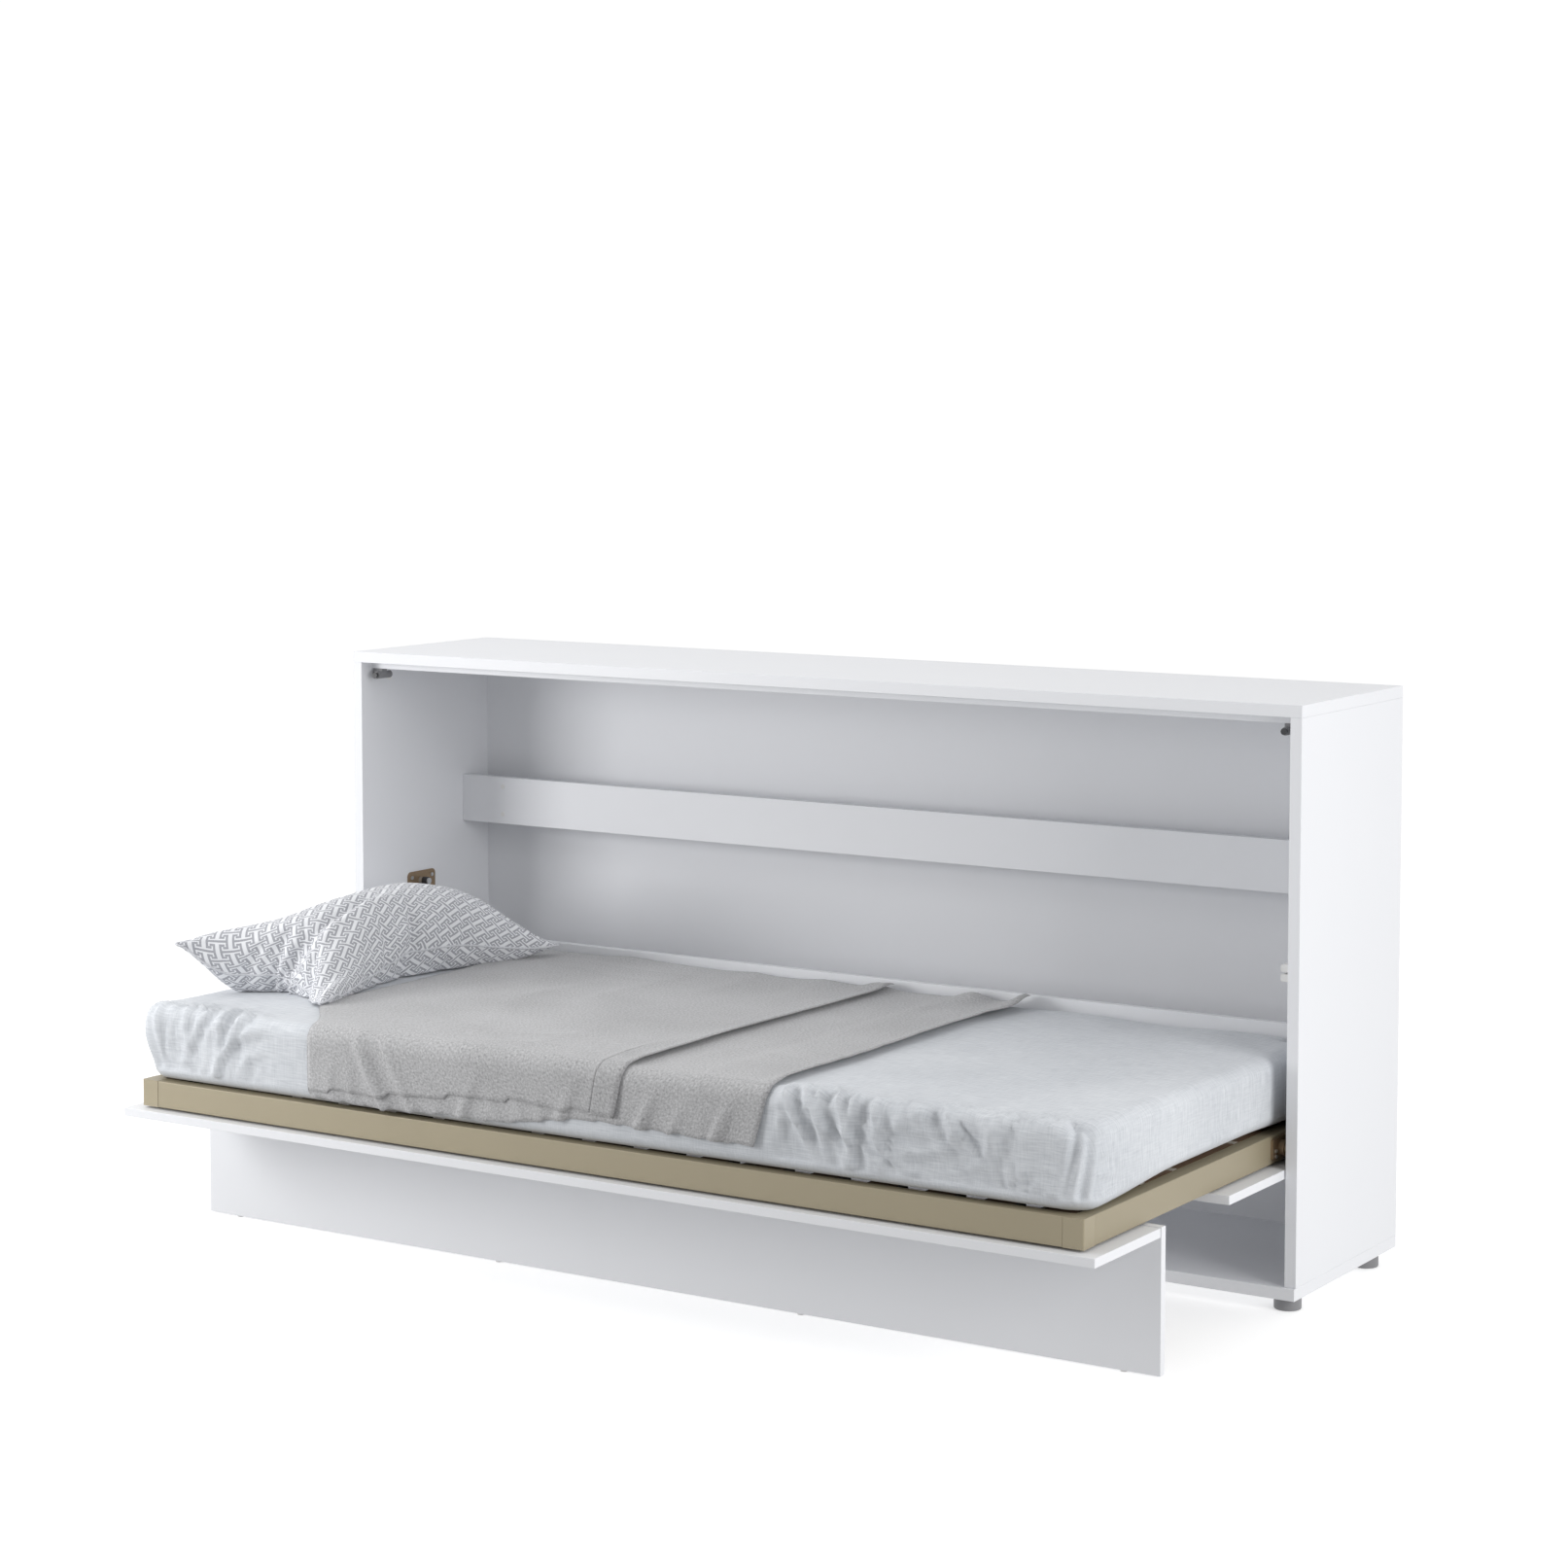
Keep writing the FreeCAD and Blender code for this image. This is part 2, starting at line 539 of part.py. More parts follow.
BOLT_HEAD_R = 3.5
BOLT_HEAD = 2.5
bolts = []
for y, z in ((20.0, 268.5), (20.0, 278.0), (98.0, 272.0), (98.0, 290.0), (135.0, 272.0), (135.0, 290.0)):
    bolts.append(bar_x(BOLT_HEAD_R, plate_out, plate_out + BOLT_HEAD, y, z))
export("frame_plate_bolts", *both(*bolts))


# ---- leg panel ----------------------------------------------------------------------------

TAB_THICKNESS = 4.0
TAB_HALF = 7.0
SLOT_HALF = 2.6
LEG_PIN_R = 3.0
LEG_PIN_HALF = 22.0

tabs = []
slots = []
leg_pins = []
for x in LEG_TAB_PLACES:
    x0 = x - TAB_THICKNESS / 2
    x1 = x + TAB_THICKNESS / 2
    strip = box(x0, x1, LEG_HINGE_Y - TAB_HALF, LEG_HINGE_Y + TAB_HALF, LEG_HINGE_Z, FRAME_BOTTOM)
    eye = bar_x(TAB_HALF, x0, x1, LEG_HINGE_Y, LEG_HINGE_Z)
    tab_hole = bar_x(LEG_PIN_R + RUNNING_GAP, x0, x1, LEG_HINGE_Y, LEG_HINGE_Z)
    tabs.append(strip.fuse(eye).removeSplitter().cut(tab_hole))
    slots.append(box(x - SLOT_HALF, x + SLOT_HALF, LEG_FRONT_Y, LEG_FRONT_Y + DOOR_BOARD,
                     LEG_HINGE_Z - TAB_HALF - 1.5, DOOR_TOP_Z))
    leg_pins.append(bar_x(LEG_PIN_R, x - LEG_PIN_HALF, x + LEG_PIN_HALF, LEG_HINGE_Y, LEG_HINGE_Z))
export("leg_hinge_tabs", *tabs)
export("leg_hinge_pins", *leg_pins)

GLIDE_R = 6.0
glides = []
for x in (-960.0, -330.0, 330.0, 960.0):
    glides.append(bar_z(GLIDE_R, x, LEG_HINGE_Y, 0.0, GLIDE_HEIGHT))
leg_half = LEG_LENGTH / 2
leg = box(-leg_half, leg_half, LEG_FRONT_Y, LEG_FRONT_Y + DOOR_BOARD, GLIDE_HEIGHT, DOOR_TOP_Z)
export("leg_panel", leg.cut(Part.makeCompound(slots + leg_pins)))
export("leg_glides", *glides)

# Steel strikes on the leg's rear face, which meet the cabinet's magnets when it is closed
STRIKE_THICKNESS = 0.8
STRIKE_R = 5.5
strikes = []
leg_drop = PIVOT_Z + PIVOT_Y - LEG_HINGE_Y - LEG_HINGE_Z
for z in catch_zs:
    strikes.append(bar_y(STRIKE_R, INNER_HALF - CATCH_WIDTH / 2, LEG_FRONT_Y + DOOR_BOARD,
                         LEG_FRONT_Y + DOOR_BOARD + STRIKE_THICKNESS, z + 6.5 - leg_drop))
export("catch_strikes", *strikes)


# ---- gas springs --------------------------------------------------------------------------

EYE_R = 8.0
EYE_HALF = 6.0
ROD_END = 12.0

drop = SPRING_TOP_Z - PIVOT_Z
lean = anchor_y - SPRING_TOP_Y
spring_length = math.hypot(drop, lean)
spring_dir = V(0, lean / spring_length, -drop / spring_length)
spring_top = V(SPRING_X, SPRING_TOP_Y, SPRING_TOP_Z)


def along(distance):
    """The point on the spring's axis at a distance from its top eye."""
    return spring_top + spring_dir * distance


def bar_along(radius, start, end):
    """A round bar on the spring's axis."""
    return Part.makeCylinder(radius, end - start, along(start), spring_dir)


def eye_at(distance, radius):
    """A round eye across the spring's axis."""
    centre = along(distance)
    return bar_x(radius, SPRING_X - EYE_HALF, SPRING_X + EYE_HALF, centre.y, centre.z)


tube = bar_along(SPRING_TUBE_R, SPRING_TUBE_START, SPRING_TUBE_END)
neck = bar_along(5.0, 0.0, SPRING_TUBE_START)
bore = bar_along(SPRING_BORE_R, SPRING_TUBE_START + 6.0, SPRING_TUBE_END - 8.0)
gland = bar_along(SPRING_ROD_R + RUNNING_GAP, SPRING_TUBE_END - 9.0, SPRING_TUBE_END)
tube = tube.fuse([neck, eye_at(0.0, EYE_R)]).removeSplitter()
tube = tube.cut(eye_at(0.0, STUD_R + RUNNING_GAP)).cut(bore).cut(gland)
export_pair("gas_spring_tube", tube)

piston = bar_along(SPRING_BORE_R - RUNNING_GAP, SPRING_TUBE_START + 12.0, SPRING_TUBE_START + 24.0)
rod = bar_along(SPRING_ROD_R, SPRING_TUBE_START + 20.0, spring_length - EYE_R + 1.0)
socket = bar_along(5.5, spring_length - EYE_R - ROD_END, spring_length - EYE_R + 1.0)
end_bolt = bar_x(STUD_R + 1.5, plate_out + 0.5, SPRING_X - EYE_HALF, anchor_y, PIVOT_Z)
rod = rod.fuse([piston, socket, eye_at(spring_length, EYE_R), end_bolt]).removeSplitter()
export_pair("gas_spring_rod", rod)


# ---- bedding ------------------------------------------------------------------------------

mattress = box(-MATTRESS_HALF, MATTRESS_HALF, MATTRESS_FRONT_Y, MATTRESS_REAR_Y,
               MATTRESS_BOTTOM, MATTRESS_TOP)
mattress = rounded(mattress, MATTRESS_CORNER_R, V(0, 0, 1))
top_edges = [e for e in mattress.Edges if abs(e.BoundBox.ZMin - MATTRESS_TOP) < 0.1]
mattress = mattress.makeFillet(MATTRESS_EDGE_R, top_edges)
export("mattress", mattress)

# Pillow: a flattened cushion at the left end
PILLOW_X = (-985.0, -640.0)
PILLOW_Y = (-590.0, 130.0)
PILLOW_HEIGHT = 95.0
PILLOW_CORNER_R = 60.0
PILLOW_EDGE_R = 44.0

pillow_low = MATTRESS_TOP + 1.0
pillow = box(PILLOW_X[0], PILLOW_X[1], PILLOW_Y[0], PILLOW_Y[1], pillow_low, pillow_low + PILLOW_HEIGHT)
pillow = rounded(pillow, PILLOW_CORNER_R, V(0, 0, 1))
pillow = pillow.makeFillet(PILLOW_EDGE_R, [e for e in pillow.Edges if e.BoundBox.ZLength < 0.1])
export("pillow", pillow)

# Folded throw: one layer over the top and down the front of the mattress
BLANKET_X = (-600.0, 420.0)
BLANKET_HEM_Z = 320.0

reach = BLANKET_GAP + BLANKET_THICKNESS
blanket_front = MATTRESS_FRONT_Y - reach
blanket_top = MATTRESS_TOP + reach
outer = box(BLANKET_X[0], BLANKET_X[1], blanket_front, 190.0, BLANKET_HEM_Z, blanket_top)
inner = box(BLANKET_X[0], BLANKET_X[1], MATTRESS_FRONT_Y - BLANKET_GAP, 190.0, BLANKET_HEM_Z,
            MATTRESS_TOP + BLANKET_GAP)


def front_top_edge(solid, y, z):
    """The edge along X at a given place."""
    found = []
    for edge in solid.Edges:
        middle = edge.CenterOfMass
        if abs(middle.y - y) < 0.1 and abs(middle.z - z) < 0.1:
            found.append(edge)
    return found


outer = outer.makeFillet(MATTRESS_EDGE_R + reach, front_top_edge(outer, blanket_front, blanket_top))
inner = inner.makeFillet(MATTRESS_EDGE_R + BLANKET_GAP,
                         front_top_edge(inner, MATTRESS_FRONT_Y - BLANKET_GAP, MATTRESS_TOP + BLANKET_GAP))
export("blanket", outer.cut(inner))
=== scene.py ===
"""Murphy wall bed: a side-folding single bed in a low white cabinet, folded down and made up.
Metres, +Z up, the open front of the cabinet towards -Y."""

import bmesh
import bpy
import numpy as np
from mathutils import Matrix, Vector


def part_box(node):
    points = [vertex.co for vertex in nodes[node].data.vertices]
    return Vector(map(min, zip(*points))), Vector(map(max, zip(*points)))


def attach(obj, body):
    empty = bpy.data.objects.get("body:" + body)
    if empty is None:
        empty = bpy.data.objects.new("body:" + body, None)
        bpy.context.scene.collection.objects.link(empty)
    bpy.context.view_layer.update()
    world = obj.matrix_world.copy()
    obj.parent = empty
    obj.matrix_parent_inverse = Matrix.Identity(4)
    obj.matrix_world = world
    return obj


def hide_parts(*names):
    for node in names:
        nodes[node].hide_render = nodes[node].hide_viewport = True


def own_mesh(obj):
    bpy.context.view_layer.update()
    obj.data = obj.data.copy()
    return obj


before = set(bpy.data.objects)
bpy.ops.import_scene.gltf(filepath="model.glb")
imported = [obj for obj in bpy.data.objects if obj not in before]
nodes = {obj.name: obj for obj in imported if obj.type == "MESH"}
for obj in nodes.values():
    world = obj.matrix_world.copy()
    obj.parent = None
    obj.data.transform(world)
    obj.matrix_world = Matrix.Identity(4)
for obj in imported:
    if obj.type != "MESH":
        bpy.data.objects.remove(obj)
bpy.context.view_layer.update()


# --- Cabinet boards ---------------------------------------------------------------------------
# Particle board faced with white melamine, cut square and edged with a thin white plastic band,
# so every arris is eased by less than a millimetre. The thin back slides in grooves.

EASED_EDGE, SHEET_EDGE = 0.0009, 0.0005
WHITE = (0.795, 0.804, 0.830)


def mesh_piece(name, corners, faces, body, material, smooth=True):
    """A piece from its corner points and faces, riding on a body and finished with a material."""
    mesh = bpy.data.meshes.new(name)
    mesh.from_pydata(np.asarray(corners, float).reshape(-1, 3).tolist(), [], faces)
    mesh.polygons.foreach_set("use_smooth", np.full(len(mesh.polygons), smooth))
    mesh.materials.append(material)
    mesh.update()
    piece = bpy.data.objects.new(name, mesh)
    bpy.context.scene.collection.objects.link(piece)
    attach(piece, body)
    return piece


def grid_faces(rows, columns, closed=False):
    """The quads of a rows x columns grid of points; closed joins the last column to the first."""
    here = np.arange(rows * columns).reshape(rows, columns)
    right = np.roll(here, -1, axis=1)
    if not closed:
        here, right = here[:, :-1], right[:, :-1]
    quads = np.stack([here[:-1], right[:-1], right[1:], here[1:]], axis=-1)
    return quads.reshape(-1, 4).tolist()


def slab(low, high, radius, steps=3):
    """A box with rounded edges: the eight corners of an inner box, each grown by an eighth of a
    sphere. Rows go from the bottom up, columns go round; the flat top and bottom close it."""
    low, high = np.array(low), np.array(high)
    middle, inner = (low + high) / 2, (high - low) / 2 - radius
    turn = np.linspace(0, np.pi / 2, steps + 1)
    round_ = np.concatenate([turn + quarter * np.pi / 2 for quarter in range(4)])
    side_x = np.repeat([1, -1, -1, 1], steps + 1)
    side_y = np.repeat([1, 1, -1, -1], steps + 1)
    rise = np.concatenate([turn - np.pi / 2, turn])
    side_z = np.repeat([-1, 1], steps + 1)
    flat = np.cos(rise)[:, None] + 0 * round_
    x = middle[0] + side_x * inner[0] + radius * flat * np.cos(round_)
    y = middle[1] + side_y * inner[1] + radius * flat * np.sin(round_)
    z = middle[2] + (side_z * inner[2] + radius * np.sin(rise))[:, None] + 0 * round_
    count = len(round_)
    faces = grid_faces(len(rise), count, closed=True)
    last = (len(rise) - 1) * count
    faces.append(list(range(count))[::-1])
    faces.append(list(range(last, last + count)))
    return np.stack([x, y, z], axis=-1).reshape(-1, 3), faces


def weld(piece, distance=1e-6):
    """Joins the points that lie on each other, and turns the faces outwards."""
    shape = bmesh.new()
    shape.from_mesh(piece.data)
    bmesh.ops.remove_doubles(shape, verts=shape.verts, dist=distance)
    bmesh.ops.recalc_face_normals(shape, faces=shape.faces)
    shape.to_mesh(piece.data)
    shape.free()
    piece.data.update()


def nodes_of(name):
    """A new material with its shader, and a function that adds a node with its settings."""
    material = bpy.data.materials.new(name)
    material.use_nodes = True
    tree = material.node_tree

    def add(kind, **settings):
        node = tree.nodes.new(kind)
        for key, value in settings.items():
            if key.startswith("in_"):
                socket = node.inputs[key[3:].replace("_", " ")]
                if isinstance(value, bpy.types.NodeSocket):
                    tree.links.new(value, socket)
                else:
                    socket.default_value = value
            else:
                setattr(node, key, value)
        return node

    return material, tree.nodes["Principled BSDF"], add, tree.links


def tone(colour, factor):
    """A colour made lighter or darker, as red, green, blue and alpha."""
    return (*(min(1.0, part * factor) for part in colour), 1.0)


def finish(name, colour, rough, metal=0.0, mottle=0.04, patch=6.0, grain=900.0, lift=0.00006,
           stretch=(1, 1, 1), coat=0.0):
    """A painted, plated or moulded finish: the colour drifts by mottle over patches, and a fine
    grain lifts the surface and breaks up its gloss. stretch draws the pattern out along an axis."""
    material, shader, add, link = nodes_of(name)
    place = add("ShaderNodeTexCoord").outputs["Object"]
    drawn = add("ShaderNodeMapping", in_Vector=place, in_Scale=stretch).outputs["Vector"]
    slow = add("ShaderNodeTexNoise", in_Vector=drawn, in_Scale=patch, in_Detail=4.0).outputs["Fac"]
    fine = add("ShaderNodeTexNoise", in_Vector=drawn, in_Scale=grain, in_Detail=2.0).outputs["Fac"]
    colours = add("ShaderNodeMix", data_type="RGBA", in_Factor=slow)
    colours.inputs[6].default_value = tone(colour, 1 - mottle)
    colours.inputs[7].default_value = tone(colour, 1 + mottle)
    link.new(colours.outputs[2], shader.inputs["Base Color"])
    gloss = add("ShaderNodeMapRange", in_Value=fine)
    gloss.inputs["To Min"].default_value = rough - 0.07
    gloss.inputs["To Max"].default_value = min(1.0, rough + 0.07)
    link.new(gloss.outputs["Result"], shader.inputs["Roughness"])
    bump = add("ShaderNodeBump", in_Height=fine, in_Distance=lift, in_Strength=1.0)
    link.new(bump.outputs["Normal"], shader.inputs["Normal"])
    shader.inputs["Metallic"].default_value = metal
    shader.inputs["Coat Weight"].default_value = coat
    return material


white_melamine = finish("white_melamine", WHITE, 0.46, mottle=0.012, patch=3.0, grain=1400.0,
                        lift=0.00003)
white_hardboard = finish("white_hardboard", WHITE, 0.55, mottle=0.012, patch=2.0,
                         grain=700.0, lift=0.00003)


def board(node, body, material=white_melamine, radius=EASED_EDGE):
    """A board in place of a CAD board of the same size, with its edges eased."""
    corners, faces = slab(*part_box(node), radius)
    piece = mesh_piece(node + "_eased", corners, faces, body, material, smooth=False)
    weld(piece)
    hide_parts(node)
    return piece


for node in ("top_panel", "bottom_panel", "side_panel_left", "side_panel_right", "wall_rail",
             "top_stop_rail"):
    board(node, "cabinet")
for node in ("back_sheet_upper", "back_sheet_lower"):
    board(node, "cabinet", white_hardboard, SHEET_EDGE)


# --- Cabinet fittings -------------------------------------------------------------------------
# Grey plastic feet, beech dowels, and cams on steel bolts draw the boards together. White caps
# snap over the cams and over the screws of the wall rail. Two brackets hold the top to the wall.


def dress(material, *names):
    """Gives CAD nodes their finish."""
    for name in names:
        slots = nodes[name].data.materials
        slots.clear()
        slots.append(material)


grey_plastic = finish("grey_plastic", (0.235, 0.235, 0.245), 0.5, mottle=0.05, patch=30.0,
                      grain=1800.0)
zinc = finish("zinc_steel", (0.62, 0.63, 0.64), 0.32, metal=0.9, mottle=0.08, patch=60.0,
              grain=2500.0, lift=0.00002)
beech = finish("beech", (0.55, 0.38, 0.22), 0.6, mottle=0.18, patch=40.0, grain=600.0,
               stretch=(0.15, 1, 1))
cap_plastic = finish("white_cap_plastic", (0.78, 0.775, 0.765), 0.38, mottle=0.01, patch=80.0,
                     grain=2200.0, lift=0.00001)
dress(grey_plastic, "cabinet_feet")
dress(zinc, "foot_screws", "cam_bolts", "wall_brackets", "wall_bracket_screws")
dress(beech, "carcass_dowels")
dress(white_hardboard, "back_sheet_joiner")
dress(cap_plastic, "wall_rail_caps")

CAM_RADIUS = 0.0075
CAP_RADIUS, CAP_RISE = 0.0085, 0.0009


def cam_caps():
    """Eight round caps: a profile of a flat disc with a soft rim, turned about the X axis. Each
    stands on the inner face of a side panel, in front of its cam."""
    low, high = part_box("cam_locks")
    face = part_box("side_panel_right")[0].x
    profile = np.array([(0.0, 1.0), (0.6, 1.0), (0.88, 0.92), (0.97, 0.6), (1.0, 0.0)])
    turn = np.linspace(0, 2 * np.pi, 32, endpoint=False)
    ring = CAP_RADIUS * profile[:, 0, None]
    out = CAP_RISE * profile[:, 1, None] + 0 * turn
    dome = np.array(grid_faces(len(profile), len(turn), closed=True))
    points, faces = [], []
    for side in (-1, 1):
        for y in (low.y + CAM_RADIUS, high.y - CAM_RADIUS):
            for z in (low.z + CAM_RADIUS, high.z - CAM_RADIUS):
                across, up = y + ring * np.cos(turn), z + ring * np.sin(turn)
                faces += (dome + len(points)).tolist()
                rim = len(points) + (len(profile) - 1) * len(turn)
                faces.append(list(range(rim, rim + len(turn))))
                points.extend(np.stack([side * (face - out), across, up], -1).reshape(-1, 3).tolist())
    return points, faces


corners, faces = cam_caps()
caps = mesh_piece("cam_caps", corners, faces, "cabinet", cap_plastic)
weld(caps)
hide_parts("cam_locks")


# --- Pivots, catches and latches --------------------------------------------------------------
# Steel plates screwed to the side panels carry the pins that the whole bed turns on. A sprung push
# latch at each side and two magnetic catches at the right hold the closed front; the springs hang
# on bronze plates.

bronze = finish("bronze_steel", (0.30, 0.215, 0.135), 0.42, metal=0.55, mottle=0.10, patch=45.0,
                grain=1600.0, lift=0.00003)
dark_plastic = finish("dark_plastic", (0.035, 0.036, 0.040), 0.42, mottle=0.10, patch=50.0,
                      grain=1500.0)
dark_steel = finish("dark_steel", (0.06, 0.06, 0.065), 0.35, metal=0.6, mottle=0.10, patch=50.0,
                    grain=2000.0, lift=0.00002)
dress(bronze, "hinge_plate_left", "hinge_plate_right", "strut_bracket_left", "strut_bracket_right")
dress(zinc, "pivot_pins", "strut_studs", "plate_screws")
dress(grey_plastic, "latch_housings")
dress(dark_plastic, "latch_plunger_left", "latch_plunger_right")
dress(cap_plastic, "magnetic_catches")


# --- Gas springs ------------------------------------------------------------------------------
# A black steel cylinder hangs from a stud on each side panel, and its bright rod pushes on the
# bed frame, so that the bed goes up and down gently.

dress(dark_steel, "gas_spring_tube_left", "gas_spring_tube_right")
dress(zinc, "gas_spring_rod_left", "gas_spring_rod_right")


# --- Bed frame --------------------------------------------------------------------------------
# Rectangular steel tubes with a matt champagne coating, joined by separate corner pieces whose
# seams show, with cross tubes underneath. Bronze plates on its ends turn on the pivots.

CHAMPAGNE = (0.330, 0.286, 0.196)
frame_paint = finish("frame_paint", CHAMPAGNE, 0.47, metal=0.12, mottle=0.03, patch=8.0,
                     grain=2600.0, lift=0.00004)
frame_paint_corner = finish("frame_paint_corner", tone(CHAMPAGNE, 1.03)[:3], 0.42, metal=0.12,
                            mottle=0.03, patch=12.0, grain=2600.0, lift=0.00003)
TUBE_EDGE = 0.0016
for node in ("frame_front_tube", "frame_rear_tube", "frame_side_tube_left",
             "frame_side_tube_right"):
    board(node, "bed", frame_paint, TUBE_EDGE)
dress(frame_paint_corner, "frame_corners")
dress(frame_paint, "cross_tubes", "leg_hinge_tabs")
dress(bronze, "frame_hinge_plates", "strut_frame_plates", "pivot_bushes")
dress(zinc, "frame_plate_bolts")


# --- Door boards and rear board ---------------------------------------------------------------
# Two boards of the closed front are screwed under the frame through spacers, and a white board
# behind the mattress keeps the bedding off the cabinet's back.

for node in ("upper_door_board", "lower_door_board", "rear_mattress_board"):
    board(node, "bed")
dress(grey_plastic, "board_spacers")
dress(zinc, "board_screws", "rear_board_bolts")


# --- Slats ------------------------------------------------------------------------------------
# Thin slats of bent and stained wood sit in rubber holders across the frame and spring a little
# under the mattress. Three woven tapes run across the slats and keep them apart.

slat_wood = finish("slat_wood", (0.18, 0.105, 0.062), 0.45, mottle=0.22, patch=14.0, grain=420.0,
                   stretch=(1, 0.06, 1), lift=0.00008)
holder_rubber = finish("holder_rubber", (0.045, 0.043, 0.042), 0.7, mottle=0.08, patch=60.0,
                       grain=1400.0)
tape_fabric = finish("tape_fabric", (0.55, 0.52, 0.46), 0.85, mottle=0.08, patch=30.0, grain=1500.0,
                     stretch=(0.3, 1, 1), lift=0.0001)
dress(slat_wood, "slats")
dress(holder_rubber, "slat_holders")
dress(tape_fabric, "slat_tapes")


# --- Leg --------------------------------------------------------------------------------------
# The middle board of the front hangs on pins under the frame and stands upright as the leg, on
# white plastic glides. Two steel strikes near its right end meet the magnetic catches when closed.

board("leg_panel", "leg")
dress(zinc, "leg_hinge_pins", "catch_strikes")
dress(cap_plastic, "leg_glides")


# --- Mattress ---------------------------------------------------------------------------------
# A foam mattress of 90 x 200 cm in a fitted sheet of pale blue-grey linen. The sheet is drawn
# under the mattress, so it gathers at the corners and creases along the upper front edge.

SHEET_STEP = 0.0080
MATTRESS_CORNER, MATTRESS_EDGE = 0.052, 0.026
SHEET_BULGE, SHEET_FOLD = 0.005, 0.004


def drift(x, y, size, seed, waves=9):
    """Smooth random unevenness between about -1 and 1: a sum of cosine waves about size long,
    in all directions, with seeded angles and phases."""
    dice = np.random.default_rng(seed)
    angle, phase = dice.uniform(0, 2 * np.pi, (2, waves))
    length = size * dice.uniform(0.7, 1.6, waves)
    total = sum(
        np.cos(2 * np.pi * (x * np.cos(a) + y * np.sin(a)) / w + p)
        for a, w, p in zip(angle, length, phase)
    )
    return total / waves**0.5 / 1.2


def creases(x, y, run, spacing, seed, sharp=3.0, wander=0.9, patchy=0.55):
    """Narrow ridges between 0 and 1: crests that run at an angle (radians from X), spacing apart,
    wander sideways, and come and go in patches."""
    across = -x * np.sin(run) + y * np.cos(run)
    wave = np.pi * across / spacing + wander * np.pi * drift(x, y, spacing * 4.5, seed)
    ridge = (1 - np.abs(np.sin(wave))) ** sharp
    patch = np.clip(0.5 + drift(x, y, spacing * 5, seed + 1) - patchy + 0.5, 0, 1)
    return ridge * patch


def near(value, middle, width):
    """1 at the middle, fading smoothly to 0 about two widths away."""
    return np.exp(-(((value - middle) / width) ** 2))


def ease(value, start, end):
    """0 before start, 1 after end, and a smooth step between."""
    part = np.clip((value - start) / (end - start), 0, 1)
    return part * part * (3 - 2 * part)


def wrapped_block(low, high, side, p, q, mirrored):
    """The upper (or, mirrored, the lower) half of a block with rounded upright corners and rounded
    edges, as a sheet wrapped over it: p and q are lengths on the sheet from its middle, and past
    the flat part the sheet turns over the edge and runs down the side for a given length."""
    middle, half = (low + high) / 2, (high - low) / 2
    corner, edge = MATTRESS_CORNER, MATTRESS_EDGE
    straight = half[:2] - corner
    over = np.maximum(np.abs(p) - straight[0], 0), np.maximum(np.abs(q) - straight[1], 0)
    past = np.maximum(*over)
    flat, arc = corner - edge, edge * np.pi / 2
    total = flat + arc + side
    if mirrored:
        past = past * (flat + arc) / total
    heading = np.arctan2(over[1], over[0] + 1e-12)
    tip = np.clip((past - flat) / edge, 0, np.pi / 2)
    reach = np.minimum(past, flat) + edge * np.sin(tip)
    drop = edge * (1 - np.cos(tip)) + np.maximum(past - flat - arc, 0)
    x = middle[0] + np.sign(p) * (np.minimum(np.abs(p), straight[0]) + reach * np.cos(heading))
    y = middle[1] + np.sign(q) * (np.minimum(np.abs(q), straight[1]) + reach * np.sin(heading))
    up = -1 if mirrored else 1
    z = np.where(mirrored, low[2] + drop, high[2] - drop)
    normal = np.stack([np.sign(p) * np.sin(tip) * np.cos(heading),
                       np.sign(q) * np.sin(tip) * np.sin(heading), up * np.cos(tip)], -1)
    return np.stack([x, y, z], -1), normal, past


def mattress_block():
    """The mattress with the slight bulge of its filling: its lowest and highest corners."""
    low, high = (np.array(corner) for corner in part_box("mattress"))
    return low - (SHEET_BULGE, SHEET_BULGE, 0), high + (SHEET_BULGE, 0, 0)


BEDDING_KEEP = 0.985
RAIL_GAP, RAIL_SOFTNESS = 0.0025, 0.0015


def press_when_closed(piece):
    """Gives the bedding its own copy of its mesh; under_stop_rail allows for the bedding pressed a
    little towards the rear board as the bed closes.
    """
    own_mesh(piece)


def under_stop_rail(points, skin=0.0):
    """Draws points in towards the pivot axis, so that the closed bed passes under the stop rail
    once the bedding is pressed together."""
    low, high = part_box("pivot_pins")
    axis_y, axis_z = (low.y + high.y) / 2, (low.z + high.z) / 2
    pressed = (1 - BEDDING_KEEP) * (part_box("rear_mattress_board")[0].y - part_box("mattress")[0].y)
    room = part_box("top_stop_rail")[0].z - axis_z - RAIL_GAP - skin + pressed
    soft = RAIL_SOFTNESS
    out = np.hypot(points[..., 1] - axis_y, points[..., 2] - axis_z)
    held = room - soft + soft * np.tanh((out - room + soft) / soft)
    scale = np.where(out > room - soft, held / out, 1)
    points[..., 1] = axis_y + (points[..., 1] - axis_y) * scale
    points[..., 2] = axis_z + (points[..., 2] - axis_z) * scale
    return points


FRONT_FOLDS = (  # place along X, lean, height and half width of each deep fold beside the throw
    (0.430, 0.55, 0.013, 0.009), (0.468, 0.75, 0.011, 0.008), (0.498, 0.15, 0.013, 0.010),
    (0.538, 0.30, 0.010, 0.008), (0.572, -0.10, 0.012, 0.010), (0.612, 0.10, 0.008, 0.011),
    (0.690, 0.70, 0.007, 0.009), (0.735, 0.90, 0.008, 0.007), (0.850, -0.30, 0.006, 0.012),
    (-0.760, -0.45, 0.009, 0.009), (-0.800, -0.20, 0.010, 0.010), (-0.845, -0.50, 0.008, 0.009),
    (-0.900, 0.10, 0.006, 0.011),
)


